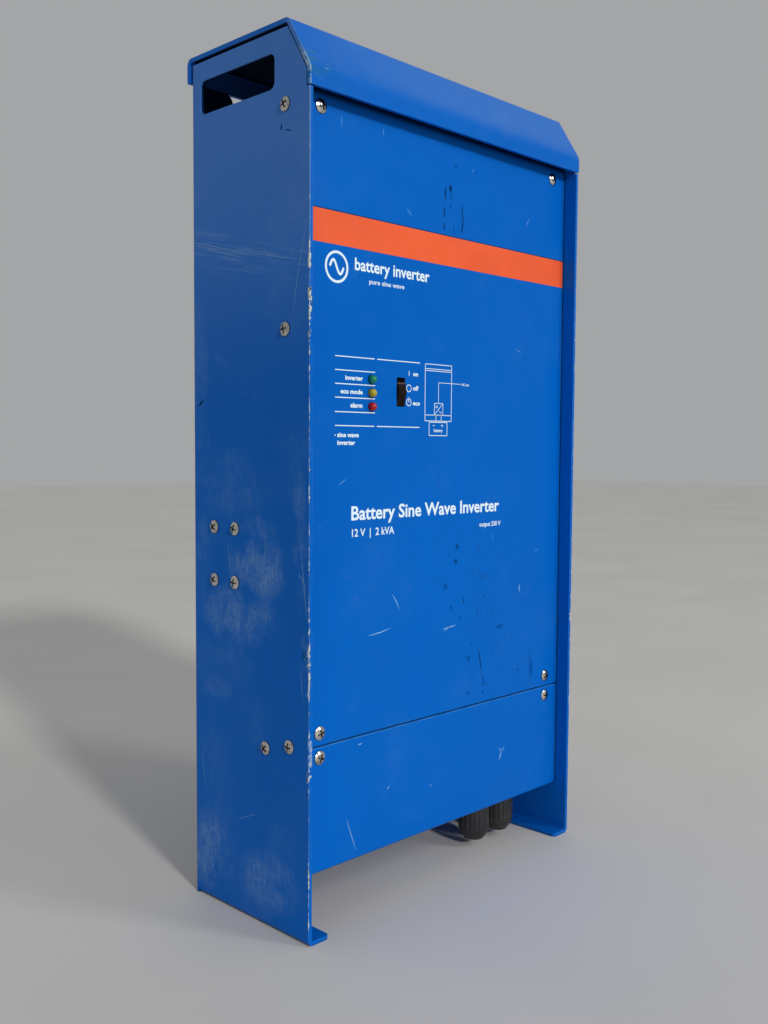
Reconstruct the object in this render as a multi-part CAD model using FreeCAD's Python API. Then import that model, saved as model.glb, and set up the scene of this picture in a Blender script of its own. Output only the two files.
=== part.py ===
import FreeCAD, Part
import math
import os
from FreeCAD import Placement, Rotation, Vector

# Battery inverter in a folded sheet-metal case, modelled in millimetres.
# Frame: +Z up, front towards -Y, origin on the floor under the middle of the overall box.

# ---- driving dimensions ------------------------------------------------------------------------
WIDTH = 255.0            # overall, across the side panels
HEIGHT = 520.0           # floor to the top of the hood
DEPTH = 125.0            # hood lip to the wall plane behind the hanging rail
SHEET = 2.5              # chassis and hood
THIN = 1.5               # covers, rails, tray and vent plate
BEND = 1.5               # inner bend radius of the thick sheet
THIN_BEND = 0.8          # inner bend radius of the thin sheet
FIT = 0.3                # gap between a folded insert and the chassis

# ---- case --------------------------------------------------------------------------------------
HALF = WIDTH / 2
FRONT = -DEPTH / 2       # front face of the hood lip
WALL = DEPTH / 2         # wall plane
CASE_FRONT = FRONT + 0.5
CASE_BACK = CASE_FRONT + 110.0
INNER = HALF - SHEET     # inner face of a side panel
BACK_IN = CASE_BACK - SHEET
RECESS = 10.5            # covers sit this far behind the side panels' front edges
COVER_FRONT = FRONT + RECESS
COVER_BACK = COVER_FRONT + THIN

# ---- hood --------------------------------------------------------------------------------------
LIP_BOTTOM = 480.0
LIP_TOP = 490.0
SLOPE_DEPTH = 18.5
HOOD_BACK = CASE_BACK + SHEET + 0.5
REAR_LIP_BOTTOM = 505.5
HOOD_GAP = 0.7           # side panel to hood, along the lip and the slope
SIDE_TOP = 515.0         # the sides stop short of the hood's top
LIP_BEND = 5.5
TOP_BEND = 1.5

# ---- chassis openings --------------------------------------------------------------------------
GRIP_Y, GRIP_Z = 2.6, 493.7
GRIP_LENGTH, GRIP_HEIGHT, GRIP_RADIUS = 70.0, 20.0, 4.5
OUTLET_HALF = 97.0       # rear air outlet under the hood
OUTLET_BOTTOM = 479.0
EAR_TOP = 504.7
OUTLET_RADIUS = 6.0
FOOT_WIDTH = 16.0
FOOT_HEIGHT = 8.0
FOOT_BACK = CASE_BACK - SHEET - BEND - 0.5
BACK_BOTTOM = 4.0

# ---- covers ------------------------------------------------------------------------------------
COVER_HALF = INNER - 0.5
SEAM = 111.0             # middle of the joint between the two covers
SEAM_GAP = 1.2
COVER_TOP = 499.0
CONNECTION_BOTTOM = 35.3
RETURN_DEPTH = 9.0
COVER_SCREW_X = 110.3
COVER_SCREW_Z = (118.5, 474.0)
CONNECTION_SCREW_Z = 104.0

# ---- screws and clinch nuts (M4) ---------------------------------------------------------------
HEAD_R, HEAD_H, HEAD_RIM = 4.0, 1.8, 0.5
RECESS_HALF, RECESS_WIDE, RECESS_DEEP = 2.5, 1.1, 1.2
SHANK_R, HOLE_R = 2.0, 2.25
NUT_R, NUT_BORE, NUT_H = 2.9, 2.3, 3.0
RAIL_SCREWS = ((-41.5, 473.5), (-41.5, 350.0), (-45.2, 112.5))
TRAY_SCREW = (-23.8, 107.5)
CRADLE_SCREWS = tuple((y, z) for y in (5.0, 25.2) for z in (202.5, 235.0))

# ---- rails, tray and vent plate ----------------------------------------------------------------
RAIL_FRONT = COVER_BACK + 0.2
RAIL_WIDTH = 22.0
RAIL_DEPTH = 16.0
RAIL_BOTTOM, RAIL_TOP = 96.0, 478.0
TRAY_HALF = INNER - FIT
WEB_HALF = INNER - BEND - FIT    # clear of the chassis bends
TRAY_BACK = BACK_IN - FIT
TRAY_BOTTOM, TRAY_TOP = 38.0, 119.5
TRAY_FRONT = COVER_BACK + 1.5
FLANGE_START = RAIL_FRONT + RAIL_DEPTH + 1.0
SHELF_NECK = 105.0       # narrower front of the shelf, clear of the cover nuts
SHELF_LIP = 103.0        # the shelf's front lip reaches down to here, behind the seam
VENT_TOP = 478.0
VENT_FLANGE = 16.0
BACK_SCREWS = ((100.0, 469.0), (100.0, 60.0))

# ---- glands, grommets and earth stud in the tray floor -----------------------------------------
GLAND_X = (59.0, 86.0)
GLAND_Y = -29.0
GLAND_BOTTOM = 6.0
GLAND_BODY_R, GLAND_NUT_R = 10.5, 11.0
GLAND_THREAD_R, GLAND_BORE_R = 9.8, 6.6
GLAND_SEAL_R = 4.5
GROMMET_X = (-98.0, -50.0)
GROMMET_Y = -18.0
GROMMET_BORE_R, GROMMET_HOLE_R, GROMMET_FLANGE_R = 8.5, 12.0, 15.0
EARTH_X, EARTH_Y = 18.0, -8.0
EARTH_TIP = 24.0
EARTH_R, EARTH_ROOT_R = 3.0, 3.4

# ---- direct-current side -----------------------------------------------------------------------
BAR_FRONT, BAR_BACK = 10.0, 13.0
STUD_Z = 80.0
STUD_R = 4.0
STUD_ROOT_R = 4.5
STUD_TIP = -16.0
STUD_X = (-105.0, -55.0)
BASE_Z = (64.0, 96.0)
FUSE_Z = (160.0, 200.0)

# ---- alternating-current terminal --------------------------------------------------------------
POLE_X = (56.0, 72.0, 88.0)
POLE_WIDTH = 15.0
BLOCK_Y = (20.0, 43.5)
BLOCK_Z = (60.0, 90.0)
LEVER_PIVOT = (35.0, 91.5)
LEVER_LENGTH = 17.0
LEVER_WIDTH = 9.0
LEVER_PIN_R = 1.2

# ---- fan ---------------------------------------------------------------------------------------
FAN_X, FAN_Y = 81.0, 2.0
FAN_SIZE, FAN_HEIGHT = 80.0, 25.0
FAN_Z = TRAY_TOP
FAN_BORE_R = 38.0
FAN_SCREW_PITCH = 71.5

# ---- transformer -------------------------------------------------------------------------------
CORE_Z = 218.8
CORE_R, CORE_BORE_R = 74.0, 25.0
CORE_Y = (-20.5, 40.0)
PAD = 1.5
CRADLE_T = 2.0
CRADLE_Z = (196.0, 242.0)

# ---- power stage -------------------------------------------------------------------------------
BOARD_T = 1.6
POWER_BOARD = (-117.0, 118.0, 303.0, 458.0)      # x0, x1, z0, z1
POWER_BOARD_Y = BAR_BACK
SINK = (-70.0, 116.0, 312.0, 452.0)
SINK_FACE, SINK_BASE, SINK_BACK = 22.0, 5.0, 41.0
FIN_PITCH, FIN_T = 7.75, 2.0
CAN_R, CAN_LENGTH = 12.5, 38.0
CAN_X = (-95.0, -65.0, -35.0, -5.0)
CAN_Z = (372.0, 404.0, 436.0)
CONTROL_BOARD = (18.0, 112.0, 322.0, 448.0)
CONTROL_Y = -34.0
DISPLAY_BOARD = (-84.0, -24.0, 294.0, 342.0)
DISPLAY_Y = -40.0

# ---- indicators and switch ---------------------------------------------------------------------
LED_X = -69.6
LED_Z = (324.4, 316.3, 308.2)
LED_R, LED_HOLE_R = 2.5, 2.7
LED_TIP = COVER_FRONT - 4.0
SWITCH_X, SWITCH_Z = -44.0, 317.9
SWITCH_SLOT = (7.4, 17.8)
SWITCH_PIVOT_Y = COVER_FRONT + 4.0
ROCKER_PIN_R = 1.0

# ---- wall fixing -------------------------------------------------------------------------------
RAIL_PLATE_HALF = 100.0
RAIL_PLATE_Z = (386.0, 402.0, 438.0, 454.0)
HANG_T = 2.0
KEYHOLE_X, KEYHOLE_Z = 70.0, 413.0
KEYHOLE_R, KEYHOLE_NECK_R, KEYHOLE_RISE = 6.5, 3.3, 14.0
HANG_SCREW_X, HANG_SCREW_Z = 85.0, (393.0, 447.0)
SPACER_X, SPACER_Z = 105.0, 20.0
SPACER_R, SPACER_BORE_R, SPACER_NECK_R = 9.0, 3.25, 4.9

# ---- wiring ----------------------------------------------------------------------------------
WIRE_HOLE = (20.0, -33.0)
WIRE_R = 1.6
LEAD_R = 3.0

X, Y, Z = Vector(1, 0, 0), Vector(0, 1, 0), Vector(0, 0, 1)


# ---- helpers -----------------------------------------------------------------------------------
def save(name, *solids):
    """Writes the solids as one node."""
    shape = solids[0] if len(solids) == 1 else Part.makeCompound(list(solids))
    shape.exportStep(os.path.join("parts", name + ".step"))


def box(x0, x1, y0, y1, z0, z1):
    return Part.makeBox(x1 - x0, y1 - y0, z1 - z0, Vector(x0, y0, z0))


def rod(start, axis, radius, length):
    return Part.makeCylinder(radius, length, Vector(*start), axis)


def ring(start, axis, outer, inner, length):
    return rod(start, axis, outer, length).cut(rod(start, axis, inner, length))


def hexagon(start, axis, flats, length):
    """A hexagonal prism that grows along axis from start."""
    radius = flats / math.sqrt(3)
    side = Y if abs(axis.z) > 0.5 or abs(axis.x) > 0.5 else X
    other = axis.cross(side)
    corners = []
    for i in range(7):
        turn = math.radians(60 * i)
        corners.append(Vector(*start) + side * (radius * math.cos(turn)) + other * (radius * math.sin(turn)))
    return Part.Face(Part.makePolygon(corners)).extrude(axis * length)


def place(axis, along, u, v):
    """A point at (u, v) in the plane across axis, at the given distance along it."""
    if axis is X:
        return Vector(along, u, v)
    if axis is Y:
        return Vector(u, along, v)
    return Vector(u, v, along)


def edges_along(shape, axis, places, tolerance=0.02):
    """Straight edges parallel to axis whose other two coordinates match one of the places."""
    found = []
    for edge in shape.Edges:
        if len(edge.Vertexes) != 2:
            continue
        a, b = (v.Point for v in edge.Vertexes)
        run = b - a
        if run.Length < 1e-6 or abs(abs(run.normalize().dot(axis)) - 1) > 1e-6:
            continue
        flat = [c for c, n in zip((a.x, a.y, a.z), (axis.x, axis.y, axis.z)) if abs(n) < 0.5]
        if any(math.hypot(flat[0] - p, flat[1] - q) < tolerance for p, q in places):
            found.append(edge)
    return found


def soften(shape, axis, places, radius):
    return shape.makeFillet(radius, edges_along(shape, axis, places))


def rounded_box(x0, x1, y0, y1, z0, z1, axis, radius):
    """A box whose four edges along axis are rounded."""
    spans = {"X": (x0, x1), "Y": (y0, y1), "Z": (z0, z1)}
    across = [spans[n] for n, v in zip("XYZ", (axis.x, axis.y, axis.z)) if abs(v) < 0.5]
    corners = [(p, q) for p in across[0] for q in across[1]]
    return soften(box(x0, x1, y0, y1, z0, z1), axis, corners, radius)


def offset_path(path, distance):
    """The path moved to its left by distance, with mitred corners."""
    moved = []
    for i, (u, v) in enumerate(path):
        normals = []
        for a, b in ((i - 1, i), (i, i + 1)):
            if a < 0 or b >= len(path):
                continue
            du, dv = path[b][0] - path[a][0], path[b][1] - path[a][1]
            size = math.hypot(du, dv)
            normals.append((-dv / size, du / size))
        nu = sum(n[0] for n in normals)
        nv = sum(n[1] for n in normals)
        scale = distance * 2 / (nu * nu + nv * nv) if len(normals) == 2 else distance
        moved.append((u + nu * scale, v + nv * scale))
    return moved


def folded(path, thickness, bends, axis, start, end):
    """A folded sheet: path is its outline in the plane across axis, and the sheet lies on its left,
    or on its right when thickness is negative. bends gives each corner's inner radius."""
    other = offset_path(path, thickness)
    sheet = prism(list(path) + other[::-1], axis, start, end)
    if not hasattr(bends, "__len__"):
        bends = [bends] * (len(path) - 2)
    for i, inner in zip(range(1, len(path) - 1), bends):
        du, dv = path[i][0] - path[i - 1][0], path[i][1] - path[i - 1][1]
        eu, ev = path[i + 1][0] - path[i][0], path[i + 1][1] - path[i][1]
        left_turn = du * ev - dv * eu > 0
        path_inside = left_turn == (thickness < 0)
        sheet = soften(sheet, axis, [path[i]], inner if path_inside else inner + abs(thickness))
        sheet = soften(sheet, axis, [other[i]], inner + abs(thickness) if path_inside else inner)
    return sheet


def prism(points, axis, start, end):
    """A polygon in the plane across axis, extruded from start to end."""
    outline = [place(axis, start, u, v) for u, v in points]
    return Part.Face(Part.makePolygon(outline + outline[:1])).extrude(axis * (end - start))


def mirrored(shape):
    return shape.mirror(Vector(0, 0, 0), X)


def both(shape):
    return [shape, mirrored(shape)]


def cut_all(shape, tools):
    tools = list(tools)
    return shape.cut(tools) if tools else shape


def screw(seat, axis, length):
    """A raised-head cross-recess screw. seat is under the head, and axis points from head to tip.

    It is made upright with its seat at the origin, then turned and placed. The recess stops at its
    own angle on each screw, as screws do when they are driven home.
    """
    seat = Vector(*seat)
    crown = HEAD_H - HEAD_RIM
    dome_r = (HEAD_R ** 2 + crown ** 2) / (2 * crown)
    head = rod((0, 0, 0), Z, HEAD_R, HEAD_H).common(Part.makeSphere(dome_r, Vector(0, 0, HEAD_H - dome_r)))
    low, half = HEAD_H - RECESS_DEEP, RECESS_WIDE / 2
    head = head.cut(box(-RECESS_HALF, RECESS_HALF, -half, half, low, HEAD_H + 1))
    head = head.cut(box(-half, half, -RECESS_HALF, RECESS_HALF, low, HEAD_H + 1))
    whole = head.fuse(rod((0, 0, 0), Z * -1, SHANK_R, length)).removeSplitter()
    stop = Rotation(Z, (seat.x * 1.7 + seat.y * 3.1 + seat.z * 2.3) % 90.0)
    whole.Placement = Placement(seat, Rotation(Z, axis * -1.0).multiply(stop))
    return whole


def clinch_nut(start, axis):
    return ring(start, axis, NUT_R, NUT_BORE, NUT_H)


def wire(points, radius):
    """A round wire along straight runs joined by tangent arcs."""
    points = [Vector(*p) for p in points]
    edges, at = [], points[0]
    for before, corner, after in zip(points, points[1:], points[2:]):
        a, b = corner - before, after - corner
        turn = a.getAngle(b)
        if turn < 0.01:
            continue
        reach = 0.45 * min(a.Length, b.Length)
        start = corner - a.normalize() * reach
        end = corner + b.normalize() * reach
        middle = (start + end) * 0.5
        bulge = reach / math.tan(turn / 2) * (1 / math.cos(turn / 2) - 1)
        towards = (corner - middle).normalize()
        peak = corner - towards * bulge
        edges.append(Part.LineSegment(at, start).toShape())
        edges.append(Part.Arc(start, peak, end).toShape())
        at = end
    edges.append(Part.LineSegment(at, points[-1]).toShape())
    path = Part.Wire(edges)
    circle = Part.makeCircle(radius, points[0], points[1] - points[0])
    return path.makePipeShell([Part.Wire(circle)], True, False)


# ---- case --------------------------------------------------------------------------------------
HOOD_PATH = [(FRONT, LIP_BOTTOM), (FRONT, LIP_TOP), (FRONT + SLOPE_DEPTH, HEIGHT),
             (HOOD_BACK, HEIGHT), (HOOD_BACK, REAR_LIP_BOTTOM)]


def side_hole(y, z):
    return rod((-HALF - 5, y, z), X, HOLE_R, WIDTH + 10)


def back_hole(x, z, radius=HOLE_R):
    return rod((x, BACK_IN - 5, z), Y, radius, 20)


def make_chassis():
    """Back and both sides from one folded sheet, with inward feet."""
    path = [(-HALF, CASE_FRONT), (-HALF, CASE_BACK), (HALF, CASE_BACK), (HALF, CASE_FRONT)]
    body = folded(path, -SHEET, BEND, Z, 0, SIDE_TOP)

    inset = offset_path(HOOD_PATH, -(SHEET + HOOD_GAP))
    (y1, z1), (y2, z2) = inset[1], inset[2]
    slope_y = y1 + (y2 - y1) * (SIDE_TOP - z1) / (z2 - z1)
    step = LIP_BOTTOM - 1.0
    trimmed = [(FRONT - 5, step), (y1, step), (y1, z1), (slope_y, SIDE_TOP), (slope_y, SIDE_TOP + 5),
               (FRONT - 5, SIDE_TOP + 5)]
    body = body.cut(prism(trimmed, X, -HALF - 5, HALF + 5))

    foot_path = [(-HALF, FOOT_HEIGHT), (-HALF, 0), (-HALF + FOOT_WIDTH, 0)]
    foot = folded(foot_path, SHEET, 1.0, Y, CASE_FRONT, FOOT_BACK)
    tip = [(-HALF + FOOT_WIDTH, CASE_FRONT)]
    foot = soften(foot, Z, tip, 2.5)
    for low in both(box(-HALF - 5, -HALF + 10, CASE_FRONT - 5, FOOT_BACK, -5, FOOT_HEIGHT)):
        body = body.cut(low)
    for piece in both(foot):
        body = body.fuse(piece)

    body = body.cut(box(-HALF + 8, HALF - 8, BACK_IN - 1, CASE_BACK + 1, -5, BACK_BOTTOM))
    body = body.cut(box(-HALF + 5, HALF - 5, BACK_IN - 1, CASE_BACK + 1, EAR_TOP, SIDE_TOP + 5))
    body = body.cut(box(-OUTLET_HALF, OUTLET_HALF, BACK_IN - 1, CASE_BACK + 1, OUTLET_BOTTOM, SIDE_TOP))
    corners = [(s * OUTLET_HALF, z) for s in (-1, 1) for z in (OUTLET_BOTTOM, EAR_TOP)]
    body = soften(body.removeSplitter(), Y, corners, OUTLET_RADIUS)

    grip = rounded_box(-HALF - 5, HALF + 5, GRIP_Y - GRIP_LENGTH / 2, GRIP_Y + GRIP_LENGTH / 2,
                       GRIP_Z - GRIP_HEIGHT / 2, GRIP_Z + GRIP_HEIGHT / 2, X, GRIP_RADIUS)
    holes = [side_hole(y, z) for y, z in RAIL_SCREWS + (TRAY_SCREW,) + CRADLE_SCREWS]
    holes += [back_hole(s * x, z) for s in (-1, 1) for x, z in BACK_SCREWS]
    holes += [back_hole(s * HANG_SCREW_X, z) for s in (-1, 1) for z in HANG_SCREW_Z]
    holes += [back_hole(s * SPACER_X, SPACER_Z, SPACER_NECK_R + 0.1) for s in (-1, 1)]
    save("chassis", cut_all(body, [grip] + holes))


def make_hood():
    """The drip hood: lip, slope, top and rear lip in one folded sheet."""
    hood = folded(HOOD_PATH, -SHEET, [LIP_BEND, TOP_BEND, TOP_BEND], X, -HALF, HALF)
    save("top_hood", hood)
    save("hood_struts", *both(hood_strut()))


def hood_strut():
    """A Z-shaped strut between the vent plate and the underside of the hood."""
    x = 50.0
    path = [(x + 14, VENT_TOP), (x, VENT_TOP), (x, HEIGHT - SHEET), (x + 14, HEIGHT - SHEET)]
    strut = folded(path, -2.0, 1.0, Y, -28.0, 28.0)
    return cut_all(strut, [rod((x + 8, y, VENT_TOP - 1), Z, HOLE_R, 5) for y in (-20.0, 20.0)])


def make_front_cover():
    """The main cover, a flat sheet whose bottom edge the tray's lip backs."""
    bottom = SEAM + SEAM_GAP / 2
    cover = box(-COVER_HALF, COVER_HALF, COVER_FRONT, COVER_BACK, bottom, COVER_TOP)
    cover = soften(cover, Y, [(s * COVER_HALF, z) for s in (-1, 1) for z in (bottom, COVER_TOP)], 1.0)
    holes = [rod((s * COVER_SCREW_X, COVER_FRONT - 1, z), Y, HOLE_R, 5)
             for s in (-1, 1) for z in COVER_SCREW_Z]
    holes += [rod((LED_X, COVER_FRONT - 1, z), Y, LED_HOLE_R, 5) for z in LED_Z]
    wide, high = SWITCH_SLOT
    holes.append(rounded_box(SWITCH_X - wide / 2, SWITCH_X + wide / 2, COVER_FRONT - 1, COVER_BACK + 1,
                             SWITCH_Z - high / 2, SWITCH_Z + high / 2, Y, 0.6))
    save("front_cover", cut_all(cover, holes))


def make_connection_cover():
    """The lower cover over the cable connections, with a return under the tray."""
    top = SEAM - SEAM_GAP / 2
    path = [(COVER_BACK + RETURN_DEPTH, CONNECTION_BOTTOM), (COVER_FRONT, CONNECTION_BOTTOM),
            (COVER_FRONT, top)]
    cover = folded(path, -THIN, THIN_BEND, X, -COVER_HALF, COVER_HALF)
    cover = soften(cover, Y, [(s * COVER_HALF, top) for s in (-1, 1)], 1.0)
    holes = [rod((s * COVER_SCREW_X, COVER_FRONT - 1, CONNECTION_SCREW_Z), Y, HOLE_R, 5) for s in (-1, 1)]
    save("connection_cover", cut_all(cover, holes))


def make_cover_rails():
    """Angles inside the front edges that carry the covers."""
    side = INNER - 0.1
    path = [(side - RAIL_WIDTH, RAIL_FRONT), (side, RAIL_FRONT), (side, RAIL_FRONT + RAIL_DEPTH)]
    rail = folded(path, THIN, THIN_BEND, Z, RAIL_BOTTOM, RAIL_TOP)
    holes = [rod((COVER_SCREW_X, RAIL_FRONT - 1, z), Y, HOLE_R, 5)
             for z in COVER_SCREW_Z + (CONNECTION_SCREW_Z,)]
    holes += [side_hole(y, z) for y, z in RAIL_SCREWS]
    save("cover_rails", *both(cut_all(rail, holes)))


def make_connection_tray():
    """C-shaped tray: cable floor, back and lipped shelf of the connection compartment."""
    path = [(TRAY_FRONT, TRAY_BOTTOM), (TRAY_BACK, TRAY_BOTTOM), (TRAY_BACK, TRAY_TOP),
            (FLANGE_START, TRAY_TOP)]
    tray = folded(path, THIN, THIN_BEND, X, -WEB_HALF, WEB_HALF)
    tray = tray.fuse(box(-SHELF_NECK, SHELF_NECK, TRAY_FRONT + 1, FLANGE_START,
                         TRAY_TOP - THIN, TRAY_TOP))
    tray = tray.fuse(box(-SHELF_NECK, SHELF_NECK, TRAY_FRONT + 1, TRAY_FRONT + 1 + THIN,
                         SHELF_LIP, TRAY_TOP))
    for flange in both(box(WEB_HALF - 0.1, TRAY_HALF, FLANGE_START, TRAY_BACK - 3,
                           TRAY_TOP - 18, TRAY_TOP)):
        tray = tray.fuse(flange)
    holes = [side_hole(*TRAY_SCREW)]
    holes += [back_hole(s * BACK_SCREWS[1][0], BACK_SCREWS[1][1]) for s in (-1, 1)]
    floor = TRAY_BOTTOM - 1
    holes += [rod((x, GLAND_Y, floor), Z, GLAND_THREAD_R + 0.2, 5) for x in GLAND_X]
    holes += [rod((x, GROMMET_Y, floor), Z, GROMMET_HOLE_R, 5) for x in GROMMET_X]
    holes.append(rod((EARTH_X, EARTH_Y, floor), Z, EARTH_ROOT_R + 0.1, 5))
    for i in range(26):
        x = -106.0 + 8.0 * i
        holes.append(rounded_box(x, x + 4, 6, 36, floor, floor + 4, Z, 1.9))
    shelf = TRAY_TOP - THIN - 1
    holes.append(rod((FAN_X, FAN_Y, shelf), Z, FAN_BORE_R, 5))
    holes += [rod((x, y, shelf), Z, HOLE_R, 5) for x, y in fan_corners()]
    holes.append(rounded_box(-119, -75, 3, 20, shelf, shelf + 4, Z, 3))
    holes.append(rod((WIRE_HOLE[0], WIRE_HOLE[1], shelf), Z, 9.0, 5))
    save("connection_tray", cut_all(tray.removeSplitter(), holes))


def make_vent_plate():
    """The top plate with two rows of outlet slots."""
    flat = VENT_TOP - THIN
    path = [(FLANGE_START, VENT_TOP), (TRAY_BACK, VENT_TOP), (TRAY_BACK, VENT_TOP - VENT_FLANGE)]
    plate = folded(path, -THIN, THIN_BEND, X, -WEB_HALF, WEB_HALF)
    plate = plate.fuse(box(-SHELF_NECK, SHELF_NECK, TRAY_FRONT + 0.5, FLANGE_START, flat, VENT_TOP))
    for flange in both(box(WEB_HALF - 0.1, TRAY_HALF, FLANGE_START, TRAY_BACK - 3,
                           VENT_TOP - VENT_FLANGE, VENT_TOP)):
        plate = plate.fuse(flange)
    holes = [back_hole(s * BACK_SCREWS[0][0], BACK_SCREWS[0][1]) for s in (-1, 1)]
    for i in range(27):
        x = -106.0 + 8.0 * i
        if 44 < abs(x + 2) < 70:
            continue
        for y in (-30.0, 6.0):
            holes.append(rounded_box(x, x + 4, y, y + 28, flat - 1, VENT_TOP + 1, Z, 1.9))
    for x, y in strut_screws():
        holes.append(rod((x, y, flat - 1), Z, HOLE_R, 5))
    save("vent_plate", cut_all(plate.removeSplitter(), holes))


def strut_screws():
    return [(s * 58.0, y) for s in (-1, 1) for y in (-20.0, 20.0)]


def fan_corners():
    half = FAN_SCREW_PITCH / 2
    return [(FAN_X + sx * half, FAN_Y + sy * half) for sx in (-1, 1) for sy in (-1, 1)]


# ---- fasteners ---------------------------------------------------------------------------------
def make_fasteners():
    places = RAIL_SCREWS + (TRAY_SCREW,) + CRADLE_SCREWS
    lefts = [screw((-HALF, y, z), X, 10.0) for y, z in places]
    save("side_screws", *lefts, *[mirrored(s) for s in lefts])
    seats = [THIN + 0.1] * len(RAIL_SCREWS) + [INNER - WEB_HALF + 0.2]
    seats += [CRADLE_T + 0.2] * len(CRADLE_SCREWS)
    nuts = [clinch_nut((-INNER + seat, y, z), X) for (y, z), seat in zip(places, seats)]
    nuts += [mirrored(n) for n in nuts]

    nut_y = RAIL_FRONT + THIN
    fronts = [(s * COVER_SCREW_X, z) for s in (-1, 1) for z in COVER_SCREW_Z]
    lows = [(s * COVER_SCREW_X, CONNECTION_SCREW_Z) for s in (-1, 1)]
    save("front_cover_screws", *[screw((x, COVER_FRONT, z), Y, 9.0) for x, z in fronts])
    save("connection_cover_screws", *[screw((x, COVER_FRONT, z), Y, 9.0) for x, z in lows])
    nuts += [clinch_nut((x, nut_y, z), Y) for x, z in fronts + lows]

    backs = [(s * x, z) for s in (-1, 1) for x, z in BACK_SCREWS]
    hangs = [(s * HANG_SCREW_X, z) for s in (-1, 1) for z in HANG_SCREW_Z]
    rears = [screw((x, CASE_BACK, z), Y * -1, 9.0) for x, z in backs]
    rears += [screw((x, CASE_BACK + HANG_T, z), Y * -1, 9.0) for x, z in hangs]
    save("back_screws", *rears)
    nuts += [clinch_nut((x, TRAY_BACK - THIN - NUT_H, z), Y) for x, z in backs]
    nuts += [clinch_nut((x, BACK_IN - NUT_H, z), Y) for x, z in hangs]

    save("strut_screws", *[screw((x, y, VENT_TOP + 2.0), Z * -1, 8.0) for x, y in strut_screws()])
    nuts += [clinch_nut((x, y, VENT_TOP - THIN - NUT_H), Z) for x, y in strut_screws()]
    save("clinch_nuts", *nuts)
    save("fan_screws", *[screw((x, y, FAN_Z + FAN_HEIGHT), Z * -1, 30.0) for x, y in fan_corners()])


# ---- wall fixing -------------------------------------------------------------------------------
def make_wall_fixing():
    """Hat-section hanging rail with two keyholes, and two hollow spacers below."""
    z0, z1, z2, z3 = RAIL_PLATE_Z
    near = CASE_BACK + HANG_T
    path = [(near, z0), (near, z1), (WALL, z1), (WALL, z2), (near, z2), (near, z3)]
    rail = folded(path, HANG_T, 1.5, X, -RAIL_PLATE_HALF, RAIL_PLATE_HALF)
    holes = []
    for s in (-1, 1):
        x = s * KEYHOLE_X
        holes.append(rod((x, WALL - 5, KEYHOLE_Z), Y, KEYHOLE_R, 10))
        holes.append(rod((x, WALL - 5, KEYHOLE_Z + KEYHOLE_RISE), Y, KEYHOLE_NECK_R, 10))
        holes.append(box(x - KEYHOLE_NECK_R, x + KEYHOLE_NECK_R, WALL - 5, WALL + 5,
                         KEYHOLE_Z, KEYHOLE_Z + KEYHOLE_RISE))
        holes += [back_hole(s * HANG_SCREW_X, z) for z in HANG_SCREW_Z]
    save("hanging_rail", cut_all(rail, holes))

    spacer = rod((SPACER_X, CASE_BACK, SPACER_Z), Y, SPACER_R, WALL - CASE_BACK)
    spacer = spacer.fuse(rod((SPACER_X, BACK_IN, SPACER_Z), Y, SPACER_NECK_R, SHEET + 1))
    spacer = spacer.cut(rod((SPACER_X, BACK_IN - 1, SPACER_Z), Y, SPACER_BORE_R, 40))
    save("wall_spacers", *both(spacer))


# ---- cable entries -----------------------------------------------------------------------------
def make_glands():
    """Cable glands: threaded body, seal, domed nut and lock nut."""
    bodies, seals, domes, locks = [], [], [], []
    under = TRAY_BOTTOM
    collar = 5.0
    dome_height = 19.0
    inside = 9.0
    for x in GLAND_X:
        body = hexagon((x, GLAND_Y, under), Z * -1, GLAND_BODY_R * 2, collar)
        body = body.fuse(rod((x, GLAND_Y, under), Z, GLAND_THREAD_R, inside))
        sleeve = under - GLAND_BOTTOM - 4.0
        body = body.fuse(rod((x, GLAND_Y, under - sleeve), Z, 8.8, sleeve))
        body = body.cut(rod((x, GLAND_Y, under - sleeve - 1), Z, GLAND_BORE_R, sleeve + inside + 2))
        bodies.append(body.removeSplitter())
        seals.append(ring((x, GLAND_Y, under - sleeve + 1), Z, GLAND_BORE_R, GLAND_SEAL_R, 10))
        domes.append(dome_nut(x, under - collar - 1.0, dome_height))
        locks.append(hexagon((x, GLAND_Y, under + THIN), Z, GLAND_BODY_R * 2, 4.5)
                     .cut(rod((x, GLAND_Y, under), Z, GLAND_THREAD_R + 0.05, 10)))
    save("gland_bodies", *bodies)
    save("gland_seals", *seals)
    save("gland_dome_nuts", *domes)
    save("gland_lock_nuts", *locks)


def dome_nut(x, top, height):
    """A ribbed nut whose lower end is domed in towards the cable."""
    bottom = GLAND_BOTTOM
    profile = [(8.9, top), (GLAND_NUT_R, top), (GLAND_NUT_R, bottom + 8), (GLAND_NUT_R - 1.2, bottom + 4),
               (GLAND_NUT_R - 4, bottom), (GLAND_SEAL_R + 1, bottom), (GLAND_SEAL_R + 1, bottom + 3.5),
               (8.9, bottom + 3.5)]
    outline = [Vector(x + r, GLAND_Y, z) for r, z in profile]
    nut = Part.Face(Part.makePolygon(outline + outline[:1])).revolve(Vector(x, GLAND_Y, 0), Z, 360)
    grooves = []
    for i in range(18):
        turn = math.radians(20 * i)
        grooves.append(rod((x + (GLAND_NUT_R + 0.5) * math.cos(turn),
                            GLAND_Y + (GLAND_NUT_R + 0.5) * math.sin(turn), top - height), Z, 0.9, 30))
    return cut_all(nut, grooves)


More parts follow.
